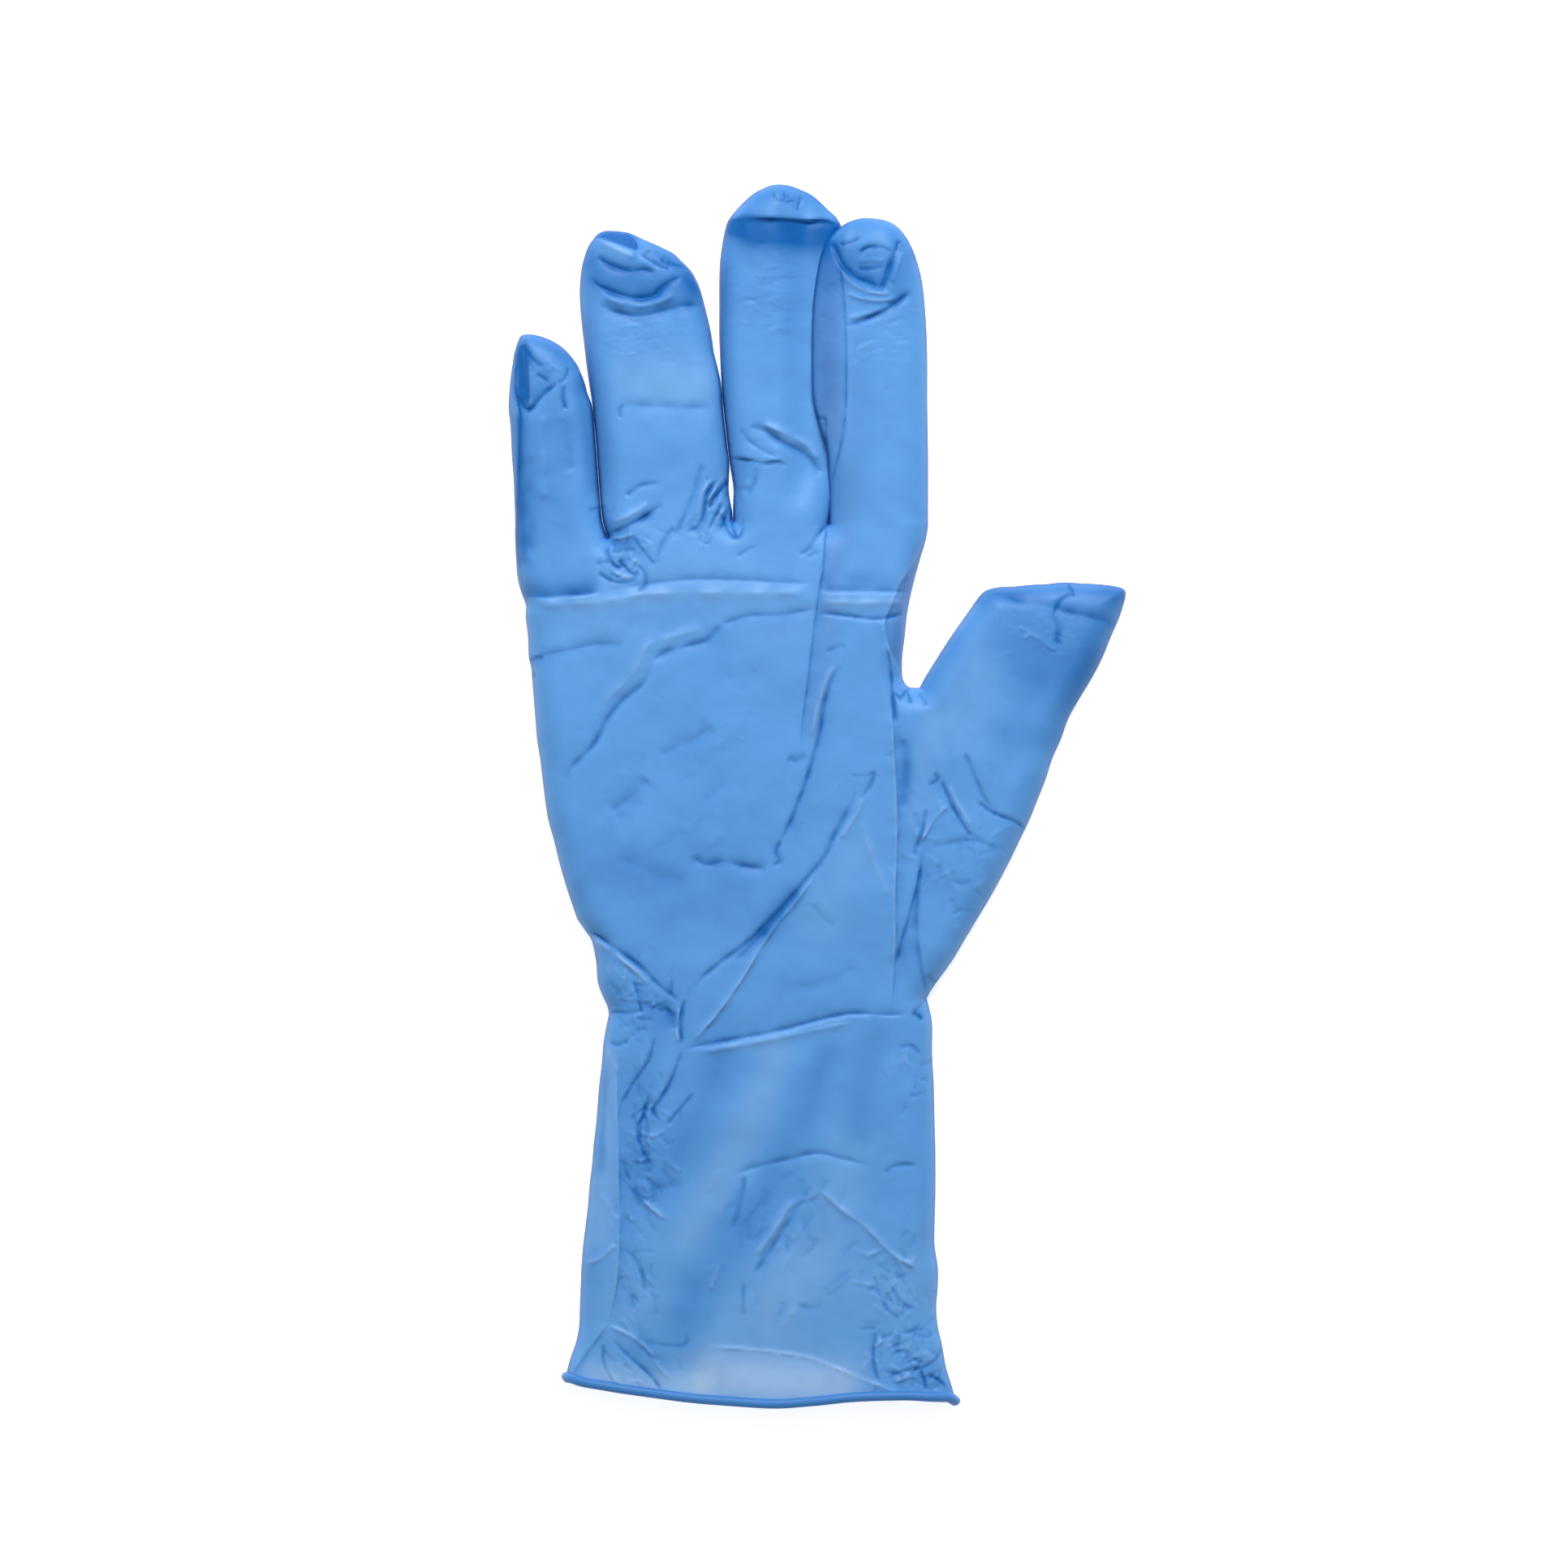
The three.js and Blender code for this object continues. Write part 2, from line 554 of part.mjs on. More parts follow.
// The whole glove: outer sheets, inner sheets a film's thickness inside them, and the bead that joins them at the mouth
function gloveGeometry() {
  const { points, upper, lower } = sheetPoints();
  const outerFaces = sheetFaces(upper, lower);
  const normals = pointNormals(points, outerFaces);
  const count = points.length;
  for (let i = 0; i < count; i++) {
    const drop = FILM / Math.max(Math.abs(normals[i].z), 0.6);
    points.push(points[i].clone().setZ(points[i].z - Math.sign(normals[i].z) * drop));
  }
  knots.forEach((_, i) => {
    const above = points[upper[i] + count];
    const below = points[lower[i] + count];
    const middle = (above.z + below.z) / 2;
    if (above === below) return;
    above.z = Math.max(above.z, middle + LEAST_HOLLOW / 2);
    below.z = Math.min(below.z, middle - LEAST_HOLLOW / 2);
  });
  for (const i of onOutline) {
    const { out } = knots[i];
    const atCrotch = crotchKnots.includes(i);
    const inset = Math.min(atCrotch ? CROTCH_INSET : EDGE_INSET, 0.75 * nearestInside(i));
    const edge = points[upper[i] + count].copy(points[upper[i]]);
    edge.x -= out.x * inset;
    edge.y -= out.y * inset;
    if (!atCrotch) edge.z = heightBetween(edge, points, upper, lower, knots[i]);
  }
  const faces = [...outerFaces, ...outerFaces.map(([a, b, c]) => [c + count, b + count, a + count])];

  // The bead: rings of points that leave the outer film, go round and come back to the inner film
  const ring = [...mouth.map((i) => upper[i]), ...mouth.slice(1, -1).reverse().map((i) => lower[i])];
  const back = THREE.MathUtils.degToRad(-55);
  const round = THREE.MathUtils.degToRad(235);
  const forward = new THREE.Vector3(0, -1, 0);
  const loops = [ring];
  for (let k = 0; k < BEAD_POINTS; k++) {
    const angle = mix(back, round, k / (BEAD_POINTS - 1));
    loops.push(
      ring.map((i) => {
        const out = points[i].clone().sub(points[i + count]).setY(0).normalize();
        const middle = points[i].clone().addScaledVector(out, -FILM / 2);
        middle.addScaledVector(forward, BEAD_RADIUS);
        middle.addScaledVector(out, BEAD_RADIUS * Math.cos(angle));
        middle.addScaledVector(forward, BEAD_RADIUS * Math.sin(angle));
        return points.push(middle) - 1;
      }),
    );
  }
  loops.push(ring.map((i) => i + count));
  for (let k = 0; k + 1 < loops.length; k++)
    ring.forEach((_, i) => {
      const j = (i + 1) % ring.length;
      faces.push([loops[k][i], loops[k + 1][i], loops[k + 1][j]]);
      faces.push([loops[k][i], loops[k + 1][j], loops[k][j]]);
    });

  const geometry = new THREE.BufferGeometry().setFromPoints(points);
  geometry.setIndex(faces.flat());
  geometry.computeVertexNormals();
  return geometry;
}

const nitrile = new THREE.MeshStandardMaterial({ color: 0x5b9bdb, roughness: 0.5, metalness: 0 });
const glove = new THREE.Mesh(gloveGeometry(), nitrile);
glove.name = "glove";

// The origin is under the middle of the glove.
const box = new THREE.Box3().setFromObject(glove);
const middle = box.getCenter(new THREE.Vector3());
glove.position.set(-middle.x, -middle.y, -box.min.z);

const root = new THREE.Group();
root.add(glove);
export default root;
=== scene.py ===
"""Looks of a nitrile exam glove that lies flat: a creased film, its rolled bead and the pale surface below.

The film is drawn in plan as one outline and filled with a fine net of triangles. Its height comes from how
far a place lies inside the outline and from a table of folds. The index finger lies on the edge of the middle
finger, so the net is made with the index finger moved aside, and moves it back afterwards.
Lengths are in millimetres unless a comment says otherwise. y runs from the mouth to the fingertips.
"""

import math

import bpy
import numpy as np
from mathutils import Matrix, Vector, noise
from mathutils.geometry import delaunay_2d_cdt


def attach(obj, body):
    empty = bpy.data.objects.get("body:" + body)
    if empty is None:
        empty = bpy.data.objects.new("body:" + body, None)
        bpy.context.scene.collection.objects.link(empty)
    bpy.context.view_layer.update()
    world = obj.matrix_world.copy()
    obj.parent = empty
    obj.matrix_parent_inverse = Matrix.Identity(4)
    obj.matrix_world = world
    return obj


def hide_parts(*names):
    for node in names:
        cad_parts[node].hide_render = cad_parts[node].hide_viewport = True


MM = 0.001

# The photograph's places are given in its own pixels, and spot() turns them into millimetres of the frame.
MM_PER_PIXEL = 0.2
MIDDLE_PIXEL = (1006.5, 981.0)
PHOTO_SIDE = 1932

# How high the film stands over its edge, and where one height eases into the next
PALM_RISE = 7.4
CUFF_RISE = 6.8
FINGER_RISE = 6.2
WRIST_Y = (-60, -10)
KNUCKLE_Y = (50, 72)
THUMB_X = (38, 60)
THUMB_TOP_Y = 54

# The edge's height, and how far inside it the upper and the lower film grow level
EDGE_HEIGHT = 1.4
EDGE_REACH = 7.0
BELLY_REACH = 5.0
BELLY_POWER = 2.2

# The film's thickness on the ground, and the lining's depth under the upper film, eased in from the edge
FILM = 0.25
LINING_DROP = 1.3
LINING_REACH = 3.0

# The rolled bead, the lift of the film at the mouth, and the share of the mouth that its corners take up
BEAD_RADIUS = 1.2
BEAD_SIDES = 14
MOUTH_LIFT = 1.2
MOUTH_Y = (-142, -128)
CORNER_SHARE = 0.03

# The index finger, and its border with the middle finger, are moved aside from their crotch upwards while the
# net is made.
ASIDE = 10.0
ASIDE_LENGTH = 29.0
BORDER_SHIFT = 4.8
BORDER_LENGTH = 20.0

# How high the index finger lies on the middle finger, how that falls off to its right, and how both are
# flatter there
LAP_HEIGHT = 4.4
LAP_WIDTH = 8.0
LAP_FALL = 9.0
LAP_START = 1.0
LAP_LENGTH = 22.0
LAP_FLATTENING = 0.45
PRESSED_RISE = 3.4
PRESSED_WIDTH = 9.0
PRESSED_EDGE = 0.4
PRESSED_LENGTH = 14.0
PRESSED_END = 12.0

# The net: its steps along outline and paths, near folds and in the lower layers, where it is fine, and how
# far it stays clear of the outline
OUTLINE_STEP = 0.8
PATH_STEP = 1.0
FINE_STEP = 0.43
COARSE_STEP = 3.0
ROW_SHARE = 0.866
ROW_START = 0.31
FINE_EDGE = 1.6
FINE_FOLD = 0.8
FINE_FOLD_SHARE = 1.3
CLEAR_SHARE = 0.45
COARSE_CLEAR_SHARE = 0.5
KEEP_INSIDE = 1
JOIN_DISTANCE = 1e-7
SHORTEST = 1e-9

# The distance from the outline is measured in square cells, and only as far as FAR.
CELL = 12.0
FAR = 10.0

# A crease: its sharp part's share and width, how far it and its shade reach, and where along it they fade in
SHARP_SHARE = 0.5
SHARP_WIDTH = 0.6
CREASE_REACH = 3.5
SHADE_REACH = 3.0
SHADE_BLUR = 0.2
RELIEF_FADE = (0, 0.15)
TONE_FADE = (-0.02, 0.2)

# How strongly the folds bend the film and paint shade in its creases and highlights on its ridges
FOLD_RELIEF = 0.8
SHADE_RELIEF = 0.8
RELIEF_REACH = 2.2
FOLD_SHADE_AND_HIGHLIGHT = 1.25
SHADE_TONE = 0.7
PATCH_REACH = 2.5
# Painted shade along the edge, over the film's own darker edge
RIM_SHADE = 0.8
RIM_SHADE_WIDTH = 0.55
BEAD_TONE = 0.5
PALE_TONE = 0.6
DEEP_OVER_PALE = 0.5

# Unevenness of the folds, slackness of the film and mottling of its blue, as (strength, size, layer) of waves
FOLD_WAVES = [(0.9, 4, 9.1)]
SLACK_WAVES = [(0.5, 17, 3.1), (0.16, 6, 7.7), (0.03, 1.7, 1.3)]
SLACK_RELIEF = 1.3
MOTTLE_WAVES = [(0.09, 12, 5.5), (0.05, 3, 2.5)]

# Small wrinkles: their scatter, bend, ranges of length, strength and width, and the share that is raised
WRINKLE_SEED = 11
WRINKLE_SCATTER = 0.6
WRINKLE_BEND = 0.15
WRINKLE_LENGTHS = (0.5, 1.2)
WRINKLE_STRENGTHS = (0.4, 1)
WRINKLE_WIDTHS = (0.8, 1.3)
WRINKLE_RAISED = 0.35

# The film's blue, and the blues mixed into it in this order: violet where film layers overlap; pale on
# lighter film and as painted highlights on ridges; deep as painted shade in creases, hollows and along the
# edge, and for random mottling and the bead
LIT_BLUE = (0.084, 0.27, 0.602)
BLUES = {
    "violet": (0.088, 0.215, 0.5),
    "pale": (0.34, 0.5, 0.72),
    "deep": (0.001, 0.094, 0.34),
}

# The film's finish and fine grain
FILM_ROUGHNESS = 0.48
FILM_SPECULAR = 0.2
GRAIN_SCALE = 700
GRAIN_DETAIL = 3
GRAIN_STRENGTH = 0.3
GRAIN_HEIGHT = 0.12

# The pale surface, half its side, and the light, whose places and sizes are in metres and powers in watts
SURFACE_HALF = 3000
SURFACE_WHITE = 0.95
SURFACE_ROUGHNESS = 0.9
SURFACE_GLOW = 0.6
WORLD_LIGHT = 0.36
LIGHT_COLUMNS = ("name", "place", "size", "power")
LIGHTS = [
    ("key", (0.06, 0.95, 0.85), 0.45, 18.5),
    ("fill", (-0.5, -0.4, 1.3), 1.2, 3),
]

# The camera looks straight down. The photograph's scale holds at SCALE_HEIGHT above the surface.
LENS = 100
SENSOR = 36
SCALE_HEIGHT = 3


def spot(place):
    """A place of the photograph in millimetres of the frame."""
    return (
        (place[0] - MIDDLE_PIXEL[0]) * MM_PER_PIXEL,
        (MIDDLE_PIXEL[1] - place[1]) * MM_PER_PIXEL,
    )


# The crotch between the middle and the index finger, and the index finger's left side
CROTCH_X, CROTCH_Y = spot((1021, 646))
LAP_LEFT = spot((1000, 420))[0]

# The outline in photograph pixels, anticlockwise in the frame from the mouth's left end. Each stretch is
# smooth up to the first place of the next one, where it turns a corner.
OUTLINE = {
    "mouth": [(697, 1697), (711, 1704), (740, 1709), (770, 1714), (820, 1721), (860, 1726), (900, 1729),
        (955, 1732), (1000, 1729), (1050, 1724), (1110, 1722), (1150, 1724)],
    "cuff_right": [(1178, 1727), (1173, 1708), (1166, 1685), (1161, 1657), (1156, 1635), (1154, 1612),
        (1156, 1585), (1156, 1562), (1152, 1535), (1152, 1510), (1153, 1470), (1153, 1420), (1152, 1380),
        (1151, 1335), (1149, 1300), (1149, 1262), (1146, 1245)],
    "thumb_outer": [(1142, 1231), (1150, 1217), (1173, 1185), (1188, 1160), (1203, 1135), (1218, 1110),
        (1232, 1085), (1245, 1060), (1257, 1035), (1269, 1010), (1279, 985), (1289, 960), (1297, 935),
        (1308, 910), (1317, 885), (1331, 860), (1346, 835), (1359, 810), (1369, 785), (1380, 760)],
    "thumb_tip": [(1387, 738), (1388, 729), (1383, 724), (1370, 721), (1350, 719), (1330, 718), (1310, 717),
        (1290, 719), (1270, 720), (1250, 722), (1230, 723), (1215, 727)],
    "thumb_inner": [(1206, 735), (1190, 758), (1171, 785), (1155, 810), (1140, 834)],
    "thumb_crotch": [(1133, 847), (1126, 847), (1120, 846), (1115, 841)],
    "palm_right": [(1112, 833), (1112, 810), (1115, 785), (1118, 757), (1122, 735), (1128, 710), (1135, 685),
        (1141, 665)],
    "index": [(1144, 648), (1144, 610), (1144, 560), (1143, 500), (1143, 447), (1142, 408), (1139, 365),
        (1135, 338), (1129, 317), (1124, 304), (1117, 291), (1107, 279), (1096, 272), (1085, 269),
        (1073, 268), (1062, 269), (1050, 273), (1040, 278), (1030, 286), (1020, 297), (1013, 310),
        (1008, 330), (1004, 355), (1001, 385), (1000, 420), (1000, 460), (1001, 490), (1006, 515),
        (1012, 535), (1018, 555), (1020, 580), (1021, 610)],
    "middle": [(1021, 646), (1026, 615), (1032, 585), (1035, 560), (1038, 530), (1040, 500), (1041, 460),
        (1041, 410), (1039, 375), (1035, 345), (1031, 325), (1030, 305), (1033, 290), (1037, 279),
        (1030, 266), (1020, 257), (1010, 247), (1000, 239), (990, 234), (975, 228), (962, 226), (950, 227),
        (940, 231), (930, 236), (920, 244), (910, 254), (900, 266), (895, 275), (891, 292), (887, 320),
        (886, 345), (886, 380), (886, 410), (887, 440), (889, 475), (892, 510), (896, 545), (899, 570),
        (902, 590), (903.5, 603), (903, 618)],
    "ring": [(903, 642), (902, 628), (899, 612), (898, 600), (898.3, 585), (898.6, 570), (895.7, 545),
        (891.7, 510), (888.7, 475), (885, 455), (880, 434), (876, 408), (870, 382), (863, 356), (856, 340),
        (850, 331), (838, 319), (828, 310), (805, 299), (791, 293), (785, 290), (776, 286), (765, 284),
        (750, 283), (742, 284), (735, 288), (730, 294), (724, 303), (719, 317), (716, 330), (714, 350),
        (714, 369), (716, 395), (719, 421), (722, 447), (726, 475), (730, 502), (733.6, 540), (736.6, 580),
        (739.6, 620), (743, 645)],
    "little": [(749, 662), (742.6, 645), (739.35, 620), (736.35, 580), (733.35, 540), (729.75, 502),
        (724, 485), (720, 470), (715, 457), (710, 447), (700, 434), (690, 425), (680, 419), (668, 414),
        (655, 411), (647, 411), (641, 413), (637, 421), (633, 434), (631, 447), (629, 460), (627, 480),
        (626, 503), (628, 520), (629, 535), (630, 560), (632, 585), (633, 610), (634, 635), (634, 660),
        (635, 685), (637, 710), (641, 727)],
    "palm_left": [(646, 740), (648, 748), (647, 760), (649, 775), (650, 785), (651, 810), (654, 822),
        (655, 835), (657, 860), (659, 885), (661, 910), (665, 935), (668, 960), (671, 985), (675, 1010),
        (682, 1035), (688, 1060), (695, 1085), (703, 1110)],
    "wrist_left": [(711, 1133), (722, 1149), (729, 1160), (734, 1185), (736, 1210), (742, 1227),
        (748, 1240)],
    "cuff_left": [(750, 1250), (746, 1268), (743, 1285), (741, 1310), (738, 1335), (736, 1360), (734, 1385),
        (731, 1410), (729, 1435), (726, 1460), (724, 1485), (721, 1510), (718, 1535), (716, 1560),
        (715, 1585), (714, 1610), (713, 1635), (709, 1655), (703, 1672), (699, 1686)],
}

# Folds of the film. path is in photograph pixels, width and reach in millimetres, and the others are shares.
# width: half the crease's width. rise: how high the film stands on the line, negative in a valley.
# tone: how much painted shade deepens the blue on the line, negative where a painted highlight makes it
# paler.
# shade: towards which side, east and north, the film lies lower and gets painted shade, and by how much.
# reach: how far.
# A fold that gives no shade lies level on both sides.
FOLD_COLUMNS = ("width", "rise", "tone", "path", "shade", "reach")
NO_SHADE = {"shade": (0, 0), "reach": 1}
LITTLE_FOLDS = [
    (0.5, -0.4, 0.55, [(640, 423), (635, 470), (638, 498), (641, 520), (639, 614), (638, 676), (646, 732)],
     (0.3, 0), 1.6),
    (0.6, -0.5, 0.6, [(636, 487), (644, 499), (653, 509), (668, 492), (689, 475)], (-0.1, 0.45), 1.6),
    (0.45, 0.5, -0.5, [(652, 452), (654, 480), (654, 506)], (-0.3, 0), 1.2),
    (0.6, -0.5, 0.6, [(642, 425), (645, 450), (645, 485)]),
    (0.6, -0.5, 0.6, [(645, 424), (652, 436), (662, 448), (672, 454)], (0, -0.2), 1.2),
    (0.7, -0.4, 0.55, [(662, 462), (668, 467), (678, 473)], (0, 0.1), 1.2),
    (0.55, -0.5, 0.6, [(688, 475), (698, 467), (701, 453)], (0.1, 0), 1.2),
    (0.6, -0.4, 0.5, [(697, 476), (695, 492), (699, 508)]),
    (2.4, -0.4, 0.14, [(694, 516), (701, 545), (706, 585)]),
    (2.4, 0.4, -0.06, [(668, 510), (670, 560), (672, 620)]),
    (2.0, -0.5, 0.18, [(655, 560), (652, 620), (656, 690)]),
    (0.4, -0.3, 0.4, [(726, 631), (736, 625), (748, 626)], (0, -0.2), 1),
    (0.45, -0.4, 0.6, [(738, 629), (743, 654), (749, 668)], (0.3, 0), 1.2),
]
RING_FOLDS = [
    (0.4, 0.3, 0.2, [(733, 294), (752, 299), (771, 306), (786, 312)], (0.25, 0.5), 2.6),
    (0.5, -0.4, 0.6, [(768, 289), (780, 296), (786, 311)], (-0.4, 0), 1.6),
    (0.7, 0.4, -0.5, [(738, 300), (755, 307), (772, 315), (786, 320)]),
    (0.5, -0.4, 0.5, [(790, 316), (803, 325), (815, 332), (828, 336)], (0.2, 0.35), 2.0),
    (0.6, 0.4, -0.6, [(793, 310), (802, 309), (810, 313)]),
    (0.5, -0.4, 0.6, [(813, 322), (826, 328), (848, 332)], (0, 0.2), 1.2),
    (1.1, -0.8, 0.7, [(735, 317), (748, 328), (771, 337), (793, 336), (810, 340)], (0, 0.2), 1.8),
    (0.9, -0.8, 0.75, [(726, 341), (739, 356), (762, 366), (787, 371), (806, 368), (819, 356), (842, 343)],
     (0, 0.3), 1.8),
    (1.0, 0.6, -0.3, [(742, 367), (765, 376), (790, 380), (815, 374), (835, 365)]),
    (1.4, -0.8, 0.5, [(738, 378), (760, 388), (790, 392), (815, 387), (842, 380), (866, 378)], (0, 0.15),
     2.0),
    (1.6, -0.4, 0.15, [(765, 500), (800, 502), (880, 505)]),
    (0.7, -0.4, 0.35, [(771, 614), (790, 601), (816, 597)], (0, 0.1), 1.2),
    (0.5, -0.3, 0.3, [(769, 500), (764, 508), (766, 518)]),
    (0.35, -0.2, 0.5, [(889, 478), (892, 520), (896, 562)]),
]
LITTLE_TO_RING_FOLDS = [
    (0.9, -0.8, 0.65, [(751, 657), (768, 651), (790, 640), (809, 627), (819, 623)], (0.1, -0.3), 2.0),
    (0.8, 0.6, -0.3, [(755, 645), (775, 637), (800, 622)]),
    (0.45, 0.5, -0.5, [(753, 665), (771, 664), (782, 660)], (0, -0.3), 1.4),
    (0.5, -0.4, 0.45, [(781, 661), (793, 679), (809, 698)], (-0.2, 0), 2.0),
    (0.8, -0.5, 0.35, [(809, 698), (815, 674), (832, 650)], (0.1, 0), 1.6),
    (0.5, -0.6, 0.8, [(748, 672), (749, 684), (753, 693), (762, 701), (768, 698), (762, 690)]),
    (0.5, -0.5, 0.7, [(768, 695), (777, 707), (785, 709), (788, 703)]),
    (0.4, 0.5, -0.6, [(757, 705), (768, 712), (780, 712)]),
    (0.45, -0.5, 0.6, [(738, 706), (749, 715), (765, 720), (781, 717), (787, 708)], (0, 0.1), 1),
    (0.45, -0.4, 0.5, [(785, 698), (795, 707), (796, 722), (785, 731)], (0.1, 0), 1),
    (0.5, -0.4, 0.4, [(735, 698), (744, 694), (752, 697)]),
]
RING_TO_MIDDLE_FOLDS = [
    (0.7, -0.6, 0.4, [(865, 573), (853, 614), (835, 656), (831, 666)], (0.15, 0), 1.6),
    (0.55, -0.7, 0.7, [(884, 592), (871, 611), (866, 638), (859, 651), (846, 657)], (0.2, 0), 1.4),
    (0.45, 0.5, -0.4, [(877, 592), (864, 612), (858, 638)]),
    (0.4, 0.6, -0.5, [(899, 580), (888, 594), (877, 611), (869, 622)]),
    (0.5, -0.6, 0.7, [(900, 588), (890, 602), (880, 616), (874, 630)]),
    (0.55, -0.5, 0.6, [(891, 620), (881, 639), (873, 655)], (0.2, 0), 1.2),
    (0.5, -0.5, 0.5, [(897, 622), (893, 640), (887, 655)], (0.2, 0), 1),
    (0.45, -0.6, 0.8, [(902, 619), (903, 650), (909, 664), (917, 648)]),
    (0.45, -0.5, 0.7, [(889, 634), (898, 655), (907, 667)]),
    (0.5, -0.3, 0.3, [(908, 688), (922, 678), (930, 676)]),
    (0.5, 0.4, -0.3, [(880, 648), (890, 632), (900, 624)]),
]
MIDDLE_FOLDS = [
    (0.3, 0.2, 0.3, [(893, 272), (937, 272), (997, 273), (1017, 272), (1040, 279)], (0, -0.75), 2.6),
    (0.3, -0.3, 0.4, [(953, 237), (955, 247), (970, 251), (981, 248)]),
    (0.3, -0.3, 0.4, [(987, 242), (985, 252), (981, 263)], (-0.15, 0), 1),
    (0.3, -0.2, 0.35, [(966, 236), (966, 246), (972, 240)]),
    (1.0, -0.8, 0.4, [(920, 528), (940, 532), (962, 546), (990, 560), (1013, 587)]),
    (1.0, 0.7, -0.25, [(938, 524), (965, 534), (991, 547), (1009, 568)]),
    (0.7, -0.4, 0.25, [(911, 529), (921, 543), (938, 556), (958, 566)]),
    (0.4, -0.4, 0.6, [(898, 564), (920, 567), (940, 571), (961, 570), (971, 576)], (0, -0.45), 1.6),
    (0.7, -0.4, 0.3, [(933, 577), (930, 595), (920, 615)]),
    (0.7, -0.3, 0.2, [(904, 602), (926, 606)]),
    (0.5, -0.6, 0.7, [(1020, 645), (1010, 658), (997, 678), (984, 686)], (-0.2, 0), 1.4),
    (0.45, -0.4, 0.5, [(992, 688), (1001, 685), (1007, 680)]),
]
INDEX_FOLDS = [
    (0.9, -0.8, 0.7, [(1022, 300), (1030, 318), (1040, 335), (1057, 348), (1073, 353), (1083, 362)],
     (0.1, 0.3), 1.6),
    (0.6, 0.6, -0.45, [(1028, 325), (1042, 347), (1057, 358), (1072, 363), (1097, 366)]),
    (0.5, -0.4, 0.5, [(1033, 306), (1047, 304), (1061, 296)], (0, 0.1), 1),
    (0.5, -0.5, 0.6, [(1057, 315), (1070, 307), (1087, 307), (1101, 314)], (0, -0.2), 1.4),
    (0.45, 0.3, -0.35, [(1053, 326), (1070, 323), (1090, 324)]),
    (0.45, -0.3, 0.35, [(1056, 334), (1074, 334), (1088, 330)]),
    (0.8, -0.7, 0.6, [(1108, 297), (1103, 312), (1097, 328), (1088, 353), (1083, 362)], (-0.1, 0), 1.6),
    (0.7, 0.5, -0.25, [(1112, 312), (1106, 330), (1098, 352)]),
    (0.5, 0.4, -0.35, [(1042, 365), (1057, 371), (1083, 374), (1104, 371)], (0, -0.2), 1.2),
    (0.9, -0.8, 0.6, [(1040, 406), (1057, 401), (1083, 389), (1103, 377), (1124, 360)], (0, 0.1), 1.8),
    (0.8, 0.5, -0.25, [(1044, 396), (1070, 390), (1096, 379)]),
    (0.3, -0.2, 0.55, [(1026, 312), (1033, 325), (1039, 365), (1042, 415), (1042, 502), (1037, 542),
     (1027, 588), (1022, 630)], (-0.12, 0), 2.4),
    (0.45, -0.5, 0.7, [(1004, 509), (1009, 517), (1016, 518), (1017, 526), (1012, 524)]),
    (0.4, -0.3, 0.5, [(1017, 526), (1018, 550), (1020, 575)]),
]
KNUCKLE_FOLDS = [
    (0.4, -0.3, 0.3, [(644, 737), (680, 737), (712, 735), (740, 731)], (0, 0.45), 3.0),
    (1.2, -0.4, 0.15, [(740, 731), (800, 722), (870, 716), (1008, 722)], (0, 0.1), 2.4),
    (1.6, 0.5, -0.2, [(650, 746), (720, 745), (820, 732), (1000, 733)]),
    (0.4, -0.4, 0.3, [(1009, 730), (1060, 730), (1120, 731)], (0, 0.3), 2.4),
    (1.4, 0.6, -0.3, [(1009, 743), (1060, 744), (1117, 743)]),
    (0.5, -0.6, 0.65, [(1008, 757), (1040, 760), (1062, 763), (1085, 764), (1118, 756)], (0, 0.15), 1.4),
    (0.35, -0.2, 0.45, [(1022, 628), (1018, 648), (1014, 698), (1009, 728), (1002, 778), (995, 839),
     (988, 893), (987, 920), (991, 929)], (0.35, 0), 2.2),
    (1.2, -0.3, 0.25, [(970, 934), (982, 938), (993, 929)]),
    (0.35, 0.5, -0.35, [(1145, 657), (1128, 688), (1110, 718), (1098, 745), (1089, 769), (1094, 797),
     (1107, 828), (1119, 844)], (0.35, 0), 2.0),
]
